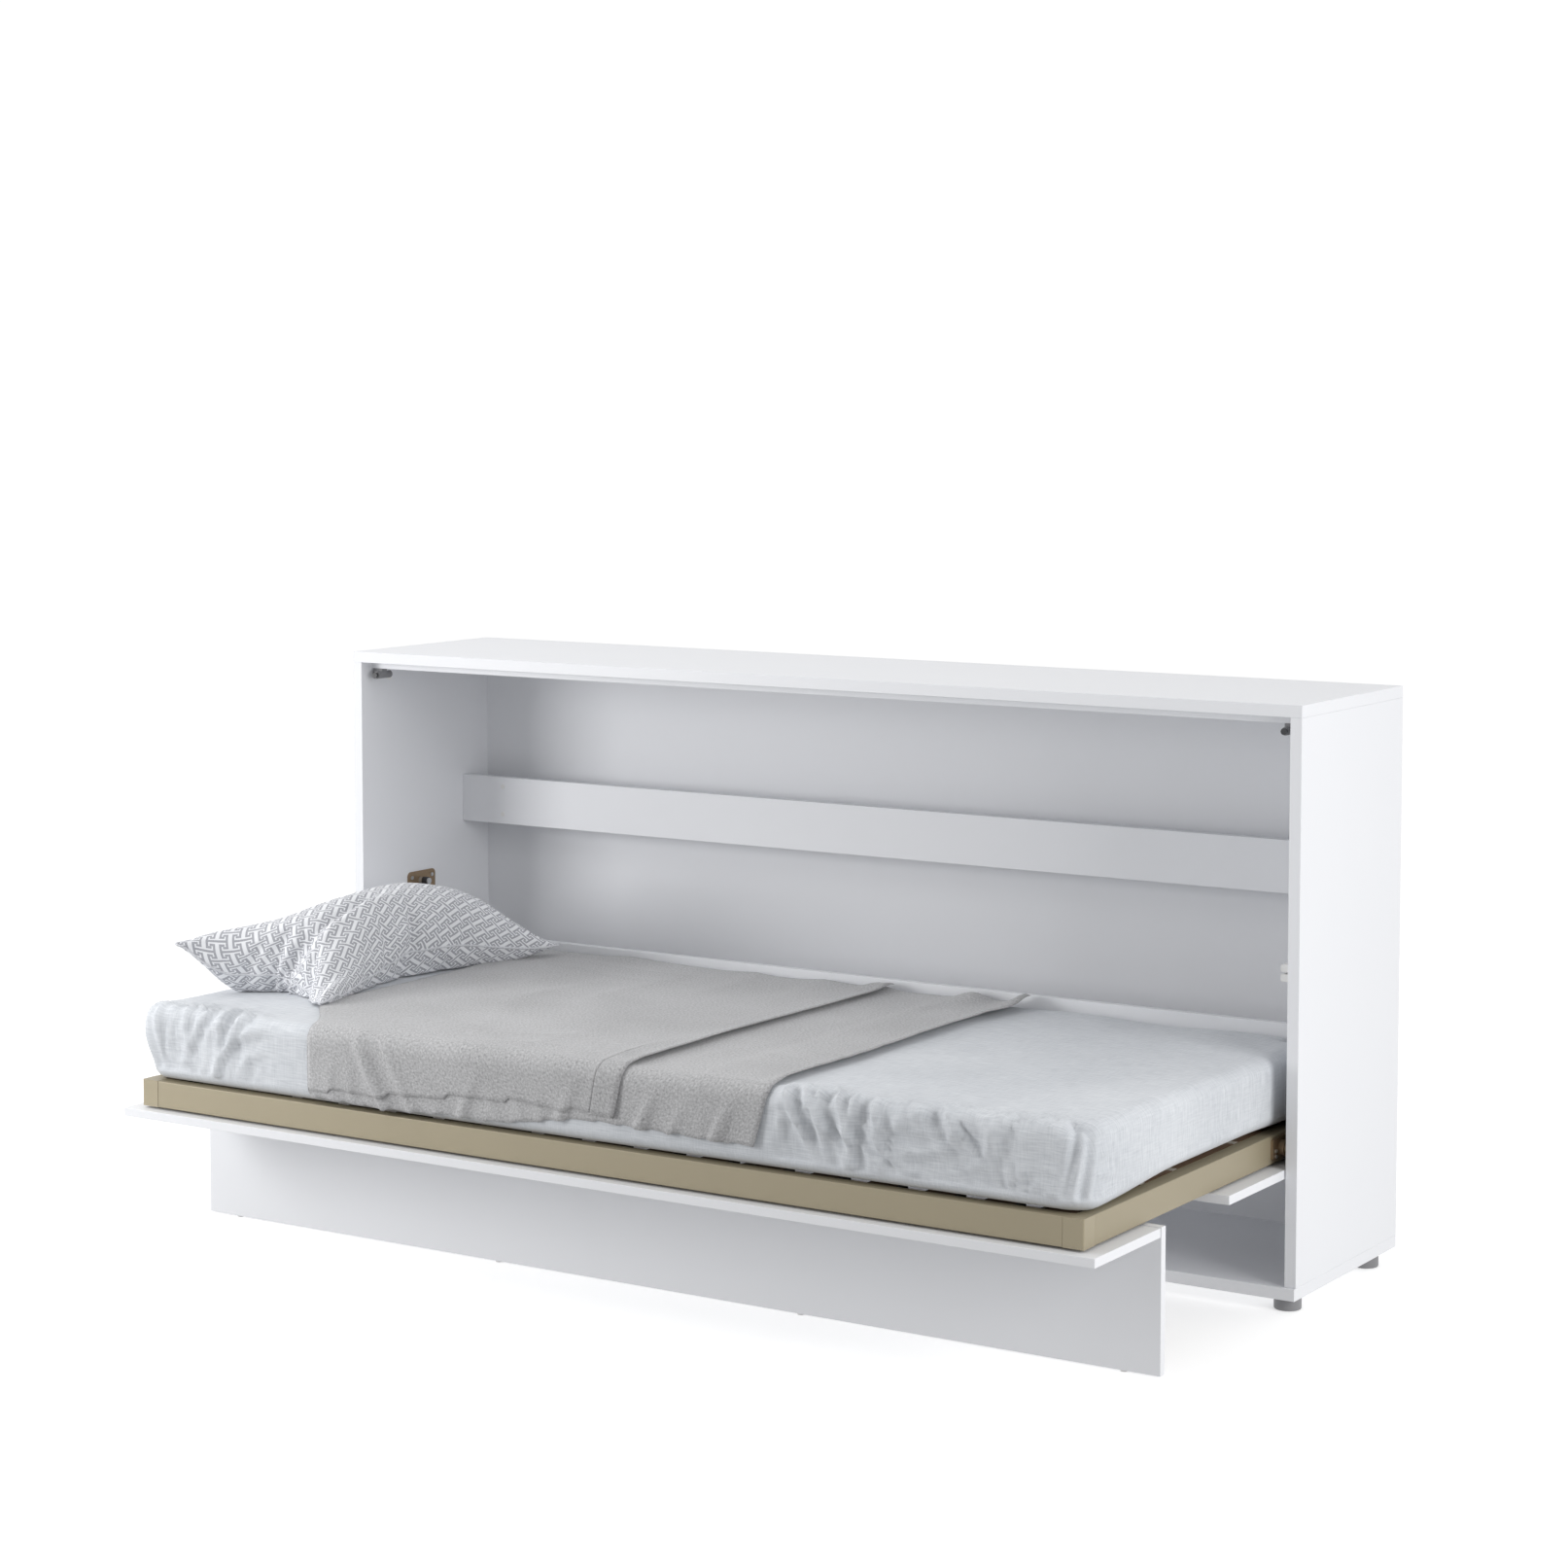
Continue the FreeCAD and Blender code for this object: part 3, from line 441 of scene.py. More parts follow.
def mattress_relief(p, q, past, half):
    """How far the linen stands off the foam: a slight crown, soft hollows, crumples across the
    upper front edge, upright folds down the front, gathers at the corners, ripples on the end."""
    front = ease(-q, half[1] - 0.16, half[1] - 0.02)
    side = ease(past, 0.035, 0.060)
    at_edge = near(past, 0.022, 0.036) * ease(-q, half[1] - 0.12, half[1] - 0.04)
    end = ease(p, half[0] - 0.03, half[0])
    over_x = np.abs(p) - (half[0] - MATTRESS_CORNER)
    over_y = np.abs(q) - (half[1] - MATTRESS_CORNER)
    round_corner = ease(np.minimum(over_x, over_y), -0.015, 0.020)
    heading = np.arctan2(np.maximum(over_y, 0), np.maximum(over_x, 0) + 1e-9) / (np.pi / 2)
    covered = ease(p, -0.74, -0.66) * (1 - ease(p, 0.40, 0.44))
    relief = 0.0018 * drift(p, q, 0.30, 11) * (1 - side)
    rough = 0.0090 * at_edge * creases(p, q, 1.45, 0.040, 21, 1.7, 1.3, 0.30)
    rough += 0.0070 * at_edge * creases(p, q, 0.25, 0.024, 22, 1.8, 1.8, 0.35)
    rough += 0.0100 * front * side * creases(p, q, 1.40, 0.070, 23, 1.5, 1.1, 0.45)
    rough += 0.0080 * front * side * creases(p, q, 2.10, 0.050, 28, 1.7, 1.3, 0.55)
    rough += 0.0052 * front * side * creases(p, q, 0.80, 0.037, 41, 1.5, 1.8, 0.35)
    rough += 0.0044 * front * side * creases(p, q, 2.40, 0.034, 43, 1.5, 1.8, 0.40)
    rough += 0.0040 * near(past, 0.0, 0.06) * front * creases(p, q, 1.0, 0.060, 24, 2.0, 1.6, 0.55)
    rough += 0.0022 * end * side * creases(q, p, 1.57, 0.024, 26, 1.4, 0.8, 0.35)
    for place, lean, height, width in FRONT_FOLDS:
        off = p - place - lean * (past - 0.03)
        fade = front * ease(past, 0.012, 0.045) * (1 - 0.6 * ease(past, 0.09, 0.13))
        rough += fade * height * (near(off, 0, width) - 0.55 * near(off, 2.1 * width, width))
    rough -= 0.0050 * front * side
    relief += rough * (1 - round_corner)
    pleats = np.cos(2 * np.pi * (2.6 * heading - 7.0 * (past - 0.04))) * np.sin(np.pi * heading)
    relief += round_corner * ease(past, 0.015, 0.050) * (0.0045 * pleats - 0.0030)
    tucked = np.where(p > 0, 0.012 * near(past, 0.020, 0.045), -0.016 * near(past, 0.085, 0.060))
    relief -= tucked * round_corner * np.sin(np.pi * heading)
    relief += 0.0010 * (1 - side) * creases(p, q, 0.05, 0.060, 27, 2.2, 1.8, 0.65)
    relief -= 0.004 * front * near(past, past.max(), 0.03) * (0.5 + 0.5 * drift(p, 0 * p, 0.2, 29))
    relief *= 1 - 0.94 * covered
    return relief


def lift_lower_edge(points, low, high):
    """Raises the mattress's lower edge off the frame, a little along the front and more along the
    right end, where the foam is stiff and the slats and their tapes show underneath."""
    x, y, z = points.T
    below = 1 - ease(z, low[2], (low[2] + high[2]) / 2)
    front = (0.0022 + 0.0020 * ease(x, -0.2, 0.6)) * ease(-y, 0.490, 0.545)
    end = 0.0135 * ease(x, 0.925, 0.985) * ease(y, -0.50, -0.20) * (1 - 0.4 * ease(y, 0.05, 0.25))
    points[:, 2] += below * np.maximum(front, end)
    return points


def mattress_shape():
    """Two wrapped halves that share their border: the upper one carries the sides, and the lower
    one closes the underside. Returns the points, the faces and each point's place on the sheet."""
    low, high = mattress_block()
    half = (high - low) / 2
    side = high[2] - low[2] - 2 * MATTRESS_EDGE
    past_end = MATTRESS_CORNER - MATTRESS_EDGE + MATTRESS_EDGE * np.pi / 2 + side
    reach = half[:2] - MATTRESS_CORNER + past_end
    count = np.round(2 * reach / SHEET_STEP).astype(int)
    p, q = np.meshgrid(np.linspace(-reach[0], reach[0], count[0]),
                       np.linspace(-reach[1], reach[1], count[1]), indexing="ij")
    points, places, faces = [], [], []
    for mirrored in (False, True):
        shape, normal, past = wrapped_block(low, high, side, p, q, mirrored)
        relief = mattress_relief(p, q, past if not mirrored else past_end + 0 * past, half)
        if mirrored:
            inside = np.maximum(np.abs(p) - reach[0] + past_end, np.abs(q) - reach[1] + past_end)
            relief = relief * ease(inside, past_end - 0.02, past_end)
        shape = shape + relief[..., None] * normal
        quads = np.array(grid_faces(*p.shape)) + len(points) * p.size
        faces += (quads if mirrored else quads[:, ::-1]).tolist()
        points.append(shape.reshape(-1, 3))
        places.append(np.stack([p, q], -1).reshape(-1, 2))
    points = lift_lower_edge(np.concatenate(points), low, high)
    return under_stop_rail(points, SHEET_FOLD), faces, np.concatenate(places)


def lay_flat_map(piece, places, name="flat"):
    """Stores each point's place on the flat cloth, in metres, as the piece's UV map."""
    loops = np.empty(len(piece.data.loops), np.int32)
    piece.data.loops.foreach_get("vertex_index", loops)
    layer = piece.data.uv_layers.new(name=name)
    layer.data.foreach_set("uv", np.asarray(places, np.float32)[loops].ravel())


def cloth_material(name, light, dark, along, across, thread, bump, rough=0.85, sheen=0.15,
                   slub=18.0, cloud=3.0, cloud_mix=0.25, ends=(0.30, 0.72)):
    """Woven cloth: threads of two directions cross over and under, slubs thicken a thread here and
    there, and the dye is cloudy. along and across say how strongly each direction shows."""
    material, shader, add, link = nodes_of(name)
    flat = add("ShaderNodeTexCoord").outputs["UV"]
    pitch = 1.0 / thread

    def threads(stretch, strength):
        drawn = add("ShaderNodeMapping", in_Vector=flat, in_Scale=stretch).outputs["Vector"]
        noise = add("ShaderNodeTexNoise", in_Vector=drawn, in_Scale=1.0, in_Detail=3.0,
                    in_Roughness=0.6).outputs["Fac"]
        shown = add("ShaderNodeMath", operation="MULTIPLY", in_Value=noise)
        shown.inputs[1].default_value = strength
        return shown.outputs[0]

    both = add("ShaderNodeMath", operation="ADD")
    link.new(threads((slub, pitch, 1.0), along), both.inputs[0])
    link.new(threads((pitch, slub, 1.0), across), both.inputs[1])
    clouds = add("ShaderNodeTexNoise", in_Vector=flat, in_Scale=cloud, in_Detail=5.0).outputs["Fac"]
    mixed = add("ShaderNodeMix", data_type="FLOAT", in_Factor=cloud_mix)
    link.new(both.outputs[0], mixed.inputs[2])
    link.new(clouds, mixed.inputs[3])
    ramp = add("ShaderNodeValToRGB")
    link.new(mixed.outputs[0], ramp.inputs["Fac"])
    ramp.color_ramp.elements[0].position, ramp.color_ramp.elements[1].position = ends
    ramp.color_ramp.elements[0].color = (*dark, 1)
    ramp.color_ramp.elements[1].color = (*light, 1)
    link.new(ramp.outputs["Color"], shader.inputs["Base Color"])
    weave = add("ShaderNodeBump", in_Distance=bump, in_Strength=0.7)
    link.new(both.outputs[0], weave.inputs["Height"])
    link.new(weave.outputs["Normal"], shader.inputs["Normal"])
    shader.inputs["Roughness"].default_value = rough
    shader.inputs["Sheen Weight"].default_value = sheen
    shader.inputs["Specular IOR Level"].default_value = 0.25
    return material, shader, add, link, ramp


linen, *_ = cloth_material("mattress_linen", light=(0.740, 0.762, 0.790), dark=(0.470, 0.495, 0.530),
                           along=0.64, across=0.36, thread=0.0030, bump=0.0007,
                           slub=24.0, cloud_mix=0.3, ends=(0.32, 0.66))
corners, faces, places = mattress_shape()
mattress = mesh_piece("mattress_in_linen", corners, faces, "bed", linen)
lay_flat_map(mattress, places)
weld(mattress, 1e-5)
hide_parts("mattress")
press_when_closed(mattress)


# --- Throw ------------------------------------------------------------------------------------
# A light grey wool throw lies across the bed in layers and hangs over the front. Its lower layer
# turns under at the right, the cloth folds back at the left, and the upper layer ends in a hem.

WOOL, PLY, FOLD_RADIUS = 0.0018, 0.0027, 0.006
TURN_UNDER, LOWER_LAYER, UPPER_LAYER, HEM = 0.14, 1.05, 0.70, 0.055
THROW_STEP, LONGEST_HANG = 0.008, 0.10
STITCH_AT, STITCH_WIDTH, STITCH_DEPTH = 0.925, 0.0020, 0.0016
HANGING_FOLDS = (  # place along X and height of each fold in the part that hangs
    (0.030, 0.009), (0.195, 0.013), (0.262, 0.007), (0.352, 0.014), (-0.180, 0.006),
)


def on_run(run, choices):
    """Each point takes the value that belongs to its own run across the throw."""
    return np.select([run == k for k in range(len(choices))], choices)


def quarter_round(distance, reach):
    """A quarter of a circle: 1 at no distance, falling to 0 at reach."""
    return 1 - np.sqrt(np.clip(1 - (1 - np.clip(distance / reach, 0, 1)) ** 2, 0, 1))


def throw_grid(whole_length):
    """s counts the runs across the throw: the edge turned under, the lower layer, the upper layer
    and the hem, with more lines at the stitching. t goes from 0 at the rear to 1 at the front."""
    lengths = (TURN_UNDER, LOWER_LAYER, UPPER_LAYER, HEM)
    parts = []
    for index, length in enumerate(lengths):
        parts.append(np.linspace(0, 1, int(length / THROW_STEP), endpoint=False) + index)
    stitched = 2 + STITCH_AT + np.array([-6, -3, -1.5, 0, 1.5, 3, 6]) * 1e-3
    s = np.sort(np.append(np.concatenate([*parts, stitched]), len(lengths) - 1e-6))
    t = np.linspace(0, 1, int(whole_length / THROW_STEP))
    return np.meshgrid(s, t, indexing="ij")


def hanging_edge(run, along):
    """How far each layer hangs below the turn over the mattress: less towards the right, and
    uneven, with the slanted steps of cloth that was folded loosely."""
    rough_x = on_run(run, [0.3 + 0 * along, 0.4 - 1.0 * along, -0.6 + 0.7 * along, 0.08 + 0 * along])
    step, slant = np.where(run <= 1, 0.058, 0.137), np.where(run <= 1, 0.004, 0.009)
    uneven = slant * (rough_x / step % 1.0 - 0.5) + 0.003 * drift(rough_x, 0.3 * run, 0.30, 31)
    lower_hang = 0.101 - 0.030 * ease(rough_x, -0.22, 0.08)
    upper_hang = 0.089 - 0.034 * ease(rough_x, -0.60, -0.12)
    return np.where(run <= 1, lower_hang, upper_hang) + uneven


def throw_edges(down, flat_run, arc):
    """Where the cloth turns, along X: the lower layer's right edge, the fold at the left and the
    upper layer's right edge. They wander a little, and swing to the left where the cloth hangs."""
    share = np.clip(down / flat_run, 0, 1)
    swing = 0.24 * np.maximum(down - flat_run - arc / 2, 0)
    left = -0.725 + 0.125 * ease(down, 0.66, 0.88) + 0.010 * drift(down, 0 * down, 0.55, 32)
    upper = 0.122 - 0.020 * share + 0.006 * drift(down, 0 * down, 0.3, 33) - 0.7 * swing
    lower = 0.414 - 0.010 * share + 0.007 * drift(down, 0 * down, 0.4, 34) - swing
    return lower, left, upper


def layer_height(run, x, starts, ends):
    """How high each run lies: one ply above the run under it, easing up where it climbs over an
    edge, and joined to the next run by a half circle."""
    lower, upper = ends[0], ends[2]
    under_right = ease(x, lower - TURN_UNDER - 0.03, lower - TURN_UNDER)
    over_hem = ease(x, upper - HEM - 0.02, upper - HEM)
    first = WOOL * 0.6
    height = on_run(run, [first + 0 * x, first + PLY * under_right,
                          first + PLY * (1 + over_hem), first + PLY + 0 * x])
    to_end = on_run(run, [np.abs(end - x) for end in ends])
    from_start = on_run(run, [np.abs(x - start) for start in starts])
    height = height + PLY / 2 * quarter_round(to_end, FOLD_RADIUS) * (run < 3)
    turned = np.where(run == 3, 1, -1) * (run > 0)
    return height + turned * PLY / 2 * quarter_round(from_start, FOLD_RADIUS)


def throw_relief(run, x, down, flat_run, arc, lower, upper):
    """How far the wool stands off what it lies on: hollows and long creases on top, a bunched rear
    edge, folds in the part that hangs, and a puff along each folded edge; never below zero."""
    lies = 1 - ease(down, flat_run - 0.05, flat_run + 0.03)
    fold_out = ease(down, flat_run + 0.02, flat_run + arc + 0.09)
    below = down - flat_run
    relief = 0.0030 * (0.5 + 0.5 * drift(x, down, 0.22, 35)) * lies
    relief += 0.0026 * creases(x, down, 1.35, 0.16, 36, 1.6, 0.7, 0.6) * lies
    relief += 0.0020 * creases(x, down, 0.5, 0.12, 37, 2.0, 1.0, 0.8) * lies
    bunch = near(x, lower - 0.12, 0.030) + 0.9 * near(x, lower - 0.01, 0.022)
    bunch += 0.8 * near(x, upper - 0.03, 0.030) + 0.5 * near(x, -0.50, 0.05)
    relief += 0.014 * bunch * near(down, 0.015, 0.035)
    pleat = -0.490 + 0.55 * below
    pleated = 0.013 * near(x, pleat, 0.013) - 0.004 * near(x, pleat + 0.030, 0.016)
    relief += ease(below, 0.0, 0.05) * (pleated + 0.008 * near(x, pleat + 0.062, 0.014))
    for place, out in HANGING_FOLDS:
        off = x - place + 0.45 * below
        relief += fold_out * out * (near(off, 0, 0.011) - 0.6 * near(off, 0.024, 0.014))
    relief += fold_out * 0.0045 * creases(x, down, 1.45, 0.060, 38, 1.5, 0.5, 0.45)
    relief = (relief + np.hypot(relief, 0.0012)) / 2
    puff = 0.0085 * near(x, lower, 0.020) * (run < 2) + 0.0065 * near(x, upper, 0.016) * (run > 1)
    return relief + puff * (lies + 0.6 * fold_out)


def throw_shape():
    """A grid of s across the folded throw and t down its length. Across, each layer is a straight
    run one ply above the last, joined by half circles; down the length the cloth lies on the
    mattress, turns over its front edge and hangs. Soft relief stands it off along the normal."""
    low, high = mattress_block()
    rear, top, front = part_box("blanket")[1].y, high[2], low[1]
    edge = MATTRESS_EDGE
    flat_run, arc = rear - (front + edge), edge * np.pi / 2
    s, t = throw_grid(flat_run + arc + LONGEST_HANG)
    run, along = np.floor(s).astype(int), s - np.floor(s)
    down = t * (flat_run + arc + hanging_edge(run, along))
    lower, left, upper = throw_edges(down, flat_run, arc)
    starts = [lower - TURN_UNDER, lower, left, upper]
    ends = [lower, left, upper, upper - HEM]
    x = on_run(run, [start + (end - start) * along for start, end in zip(starts, ends)])
    stitch = near(along, STITCH_AT, STITCH_WIDTH) * (run == 2)
    height = layer_height(run, x, starts, ends) - STITCH_DEPTH * stitch
    height = height + throw_relief(run, x, down, flat_run, arc, lower, upper)
    tip = np.clip((down - flat_run) / edge, 0, np.pi / 2)
    y = np.where(tip > 0, front + edge - (edge + height) * np.sin(tip), rear - down)
    z = top - edge + (edge + height) * np.cos(tip) - np.maximum(down - flat_run - arc, 0)
    flat_s = np.cumsum(np.abs(np.diff(x, axis=0, prepend=x[:1])), axis=0)
    return np.stack([x, y, z], -1), np.stack([flat_s, down], -1), (flat_s.max(), down.max())


wool, *_ = cloth_material("throw_wool", light=(0.592, 0.592, 0.602), dark=(0.250, 0.250, 0.254),
                          along=0.5, across=0.5, thread=0.0036, bump=0.0012, rough=0.95,
                          sheen=0.25, slub=200.0, cloud=5.0, cloud_mix=0.15, ends=(0.34, 0.65))
shape, places, cut = throw_shape()
shape = under_stop_rail(shape, WOOL / 2)
faces = grid_faces(*shape.shape[:2])
throw = mesh_piece("throw_folded", shape, faces, "bed", wool)
lay_flat_map(throw, places.reshape(-1, 2))
thick = throw.modifiers.new("wool", "SOLIDIFY")
thick.thickness = WOOL
thick.offset = 0
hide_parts("blanket")
press_when_closed(throw)


# --- Pillow -----------------------------------------------------------------------------------
# A soft pillow of 50 x 75 cm in a white cotton case printed with a grey lattice. It is slumped in
# the head corner, its far edge propped up and its near edge flat on the mattress and the throw.

PILLOW_SIZE = np.array([0.50, 0.75])
PILLOW_GRID = (PILLOW_SIZE / 0.0075).astype(int)
SEAM_PULL, CASE_PUFF = 0.018, 0.030
PIPING = 0.0045
PRINT_TURN = np.radians(36)


def case_outline(u, v):
    """The flat case, its sides drawn in between the corners as parabolas: u and v run from -1 to 1
    across and along it."""
    half = PILLOW_SIZE / 2
    x = half[0] * u - SEAM_PULL * u * (1 - v**2)
    y = half[1] * v - SEAM_PULL * v * (1 - u**2)
    return x, y


def pillow_case():
    """Two flat sheets joined round their border, slightly puffed: thickness is greatest in the
    middle and falls to nothing at the seam as (1 - u^2)(1 - v^2) to a small power."""
    u, v = np.meshgrid(*(np.linspace(-1, 1, count) for count in PILLOW_GRID), indexing="ij")
    x, y = case_outline(u, v)
    puff = CASE_PUFF * ((1 - u**2) * (1 - v**2)) ** 0.6
    cos, sin = np.cos(PRINT_TURN), np.sin(PRINT_TURN)
    cut_x, cut_y = PILLOW_SIZE[0] / 2 * u, PILLOW_SIZE[1] / 2 * v
    turned = np.stack([cut_x * cos + cut_y * sin, cut_y * cos - cut_x * sin], -1).reshape(-1, 2)
    points, faces, places = [], [], []
    for side in (1, -1):
        quads = np.array(grid_faces(*u.shape)) + len(points) * u.size
        faces += (quads[:, ::-1] if side > 0 else quads).tolist()
        points.append(np.stack([x, y, side * puff], -1).reshape(-1, 3))
        places.append(turned)
    return np.concatenate(points), faces, np.concatenate(places)


def seam_points(points):
    """Which of the welded points lie on the seam, in order round the case."""
    u, v = (np.linspace(-1, 1, count) for count in PILLOW_GRID)
    round_u = np.concatenate([u, 0 * v[1:] + 1, u[::-1][1:], 0 * v[1:-1] - 1])
    round_v = np.concatenate([0 * u - 1, v[1:], 0 * u[1:] + 1, v[::-1][1:-1]])
    x, y = case_outline(round_u, round_v)
    ring = np.stack([x, y, 0 * x], -1)
    return np.linalg.norm(points[None] - ring[:, None], axis=-1).argmin(1)


def round_cord(path, radius, sides=8):
    """A round cord along a closed path: a ring of points square to the path at each of its points,
    the path first smoothed a little."""
    for _ in range(2):
        path = (np.roll(path, 1, 0) + 2 * path + np.roll(path, -1, 0)) / 4
    run = np.roll(path, -1, 0) - np.roll(path, 1, 0)
    run /= np.linalg.norm(run, axis=1)[:, None]
    out = np.cross(run, (0, 0, 1.0))
    out /= np.linalg.norm(out, axis=1)[:, None]
    up = np.cross(out, run)
    turn = np.linspace(0, 2 * np.pi, sides, endpoint=False)[:, None]
    rings = path[:, None] + radius * (np.cos(turn) * out[:, None] + np.sin(turn) * up[:, None])
    here = np.arange(rings.shape[0] * sides).reshape(-1, sides)
    right, ahead = np.roll(here, -1, 1), np.roll(here, -1, 0)
    quads = np.stack([here, right, np.roll(ahead, -1, 1), ahead], -1)
    return rings.reshape(-1, 3), quads.reshape(-1, 4).tolist()


def inflate(piece, frames=20):
    """Fills the sewn case: cloth with air pressure inside and no weight, run for a few frames."""
    cloth = piece.modifiers.new("fill", "CLOTH")
    cloth.settings.use_pressure = True
    cloth.settings.uniform_pressure_force = 8.0
    cloth.settings.quality = 6
    cloth.settings.mass = 0.2
    cloth.settings.tension_stiffness = 25
    cloth.settings.compression_stiffness = 8
    cloth.settings.bending_stiffness = 0.15
    cloth.settings.effector_weights.gravity = 0
    cloth.point_cache.frame_end = frames
    scene = bpy.context.scene
    for step in range(1, frames + 1):
        scene.frame_set(step)
    settled = piece.evaluated_get(bpy.context.evaluated_depsgraph_get()).data
    points = np.empty(len(settled.vertices) * 3, np.float32)
    settled.vertices.foreach_get("co", points)
    piece.modifiers.remove(cloth)
    scene.frame_set(1)
    return points.reshape(-1, 3).astype(float)


def beside_line(u, v, start, end, width):
    """A fold along a line on the pillow: a ridge on the line and a valley beside it, fading at
    the far end. u and v run from 0 to 1 across and along the pillow."""
    run = np.subtract(end, start)
    length = np.hypot(*run)
    along = ((u - start[0]) * run[0] + (v - start[1]) * run[1]) / length
    off = ((u - start[0]) * run[1] - (v - start[1]) * run[0]) / length
    ends = ease(along, -0.02, 0.10) * (1 - ease(along, length - 0.18, length + 0.02))
    return ends * (near(off, 0, width) - 0.9 * near(off, -1.6 * width, width))


def slump(points):
    """Lays the filled pillow in its corner. Its four corners are carried to their places by a
    bilinear patch, its thickness stands along the patch's lean, and it flattens on the bed."""
    front_left, front_right = np.array([-1.004, -0.470, 0.548]), np.array([-0.688, -0.412, 0.450])
    rear_left, rear_right = np.array([-0.985, 0.290, 0.515]), np.array([-0.640, 0.285, 0.474])
    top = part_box("mattress")[1].z
    span = points[:, :2].max(0) - points[:, :2].min(0)
    u, v = ((points[:, :2] - points[:, :2].min(0)) / span).T
    patch = ((1 - u)[:, None] * ((1 - v)[:, None] * front_left + v[:, None] * rear_left)
             + u[:, None] * ((1 - v)[:, None] * front_right + v[:, None] * rear_right))
    sag = (patch[:, 2] - top - 0.012) * ease(u, 0.0, 0.30) * (1 - ease(v, 0.0, 0.40))
    bump = 0.026 * near(v, 0.17, 0.12) + 0.006 * near(v, 0.40, 0.12)
    belly = 0.023 * near(v, 0.60, 0.22) * ease(u, 0.05, 0.60) * (1 - ease(u, 0.82, 1.0))
    patch[:, 2] += bump * (1 - ease(u, 0.05, 0.65)) + belly - sag
    upper = points[:, 2] > 0
    fold = 0.011 * beside_line(u, v, (0.98, 0.02), (0.72, 0.62), 0.045)
    fold += 0.013 * beside_line(u, v, (0.62, 0.02), (0.60, 0.52), 0.042)
    fold -= 0.010 * near(u, 0.30, 0.14) * near(v, 0.70, 0.022)
    lean = np.array([0.30, -0.10, 0.94])
    full = 0.64 + 0.22 * near(u, 0.80, 0.16) * ease(v, 0.10, 0.40) * (1 - ease(v, 0.60, 0.90))
    placed = patch + (points[:, 2] * full + fold * upper)[:, None] * lean
    floor = top + 0.0020 + 0.006 * ease(placed[:, 0], -0.72, -0.67)
    resting = floor + 0.001 * np.tanh((placed[:, 2] - floor) / 0.02)
    placed[:, 2] = np.where(placed[:, 2] < floor, resting, placed[:, 2])
    return placed


PITCH = (0.056, 0.037)
BAR, UPRIGHT = 0.0040, 0.0048
UPRIGHT_AT, UPRIGHT_HALF, HOOK = 0.0212, 0.0134, 0.0090
INK = (0.285, 0.290, 0.325)


def lattice_print(add, link, shader, ramp):
    """The printed lattice: grey H figures in two sets, one set by half a pitch between the other,
    each with a crossbar, two uprights and short hooks turned in at the uprights' ends."""
    cloth = add("ShaderNodeTexCoord").outputs["UV"]
    flat = add("ShaderNodeSeparateXYZ", in_Vector=cloth)

    def maths(operation, a, b=0.0, c=0.0):
        node = add("ShaderNodeMath", operation=operation)
        for socket, value in zip(node.inputs, (a, b, c)):
            if isinstance(value, bpy.types.NodeSocket):
                link.new(value, socket)
            else:
                socket.default_value = value
        return node.outputs[0]

    def from_middle(axis, pitch, shift):
        moved = maths("ADD", flat.outputs[axis], pitch * shift)
        return maths("ABSOLUTE", maths("SUBTRACT", maths("WRAP", moved, pitch, 0.0), pitch / 2))

    def figure(shift):
        across = from_middle("X", PITCH[0], shift)
        along = from_middle("Y", PITCH[1], shift)
        between = maths("LESS_THAN", across, UPRIGHT_AT)
        bar = maths("MULTIPLY", maths("LESS_THAN", along, BAR / 2), between)
        off_upright = maths("ABSOLUTE", maths("SUBTRACT", across, UPRIGHT_AT))
        upright = maths("MULTIPLY", maths("LESS_THAN", off_upright, UPRIGHT / 2),
                        maths("LESS_THAN", along, UPRIGHT_HALF))
        off_end = maths("ABSOLUTE", maths("SUBTRACT", along, UPRIGHT_HALF - BAR / 2))
        near_upright = maths("GREATER_THAN", across, UPRIGHT_AT - HOOK)
        hook = maths("MULTIPLY", maths("LESS_THAN", off_end, BAR / 2),
                     maths("MULTIPLY", between, near_upright))
        return maths("MAXIMUM", maths("MAXIMUM", bar, upright), hook)

    inked = maths("MAXIMUM", figure(0.0), figure(0.5))
    worn = add("ShaderNodeTexNoise", in_Vector=cloth, in_Scale=420.0, in_Detail=3.0).outputs["Fac"]
    strength = maths("MULTIPLY", inked, maths("MULTIPLY_ADD", worn, 0.5, 0.55))
    printed = add("ShaderNodeMix", data_type="RGBA")
    link.new(strength, printed.inputs[0])
    link.new(ramp.outputs["Color"], printed.inputs[6])
    printed.inputs[7].default_value = (*INK, 1)
    link.new(printed.outputs[2], shader.inputs["Base Color"])


cotton, shader, add, link, ramp = cloth_material(
    "pillow_cotton", light=(0.87, 0.88, 0.90), dark=(0.78, 0.79, 0.82), along=0.5, across=0.5,
    thread=0.0012, bump=0.00012, rough=0.8, sheen=0.1)
lattice_print(add, link, shader, ramp)
corners, faces, places = pillow_case()
pillow = mesh_piece("pillow_lattice", corners, faces, "bed", cotton)
lay_flat_map(pillow, places)
weld(pillow, 1e-5)
points = np.empty(len(pillow.data.vertices) * 3, np.float32)
pillow.data.vertices.foreach_get("co", points)
points = points.reshape(-1, 3).astype(float)
seam = seam_points(points)
points = inflate(pillow)
points = slump(points)
pillow.data.vertices.foreach_set("co", points.astype(np.float32).ravel())
pillow.data.update()
smooth = pillow.modifiers.new("smooth", "SUBSURF")
smooth.levels = smooth.render_levels = 1
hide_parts("pillow")

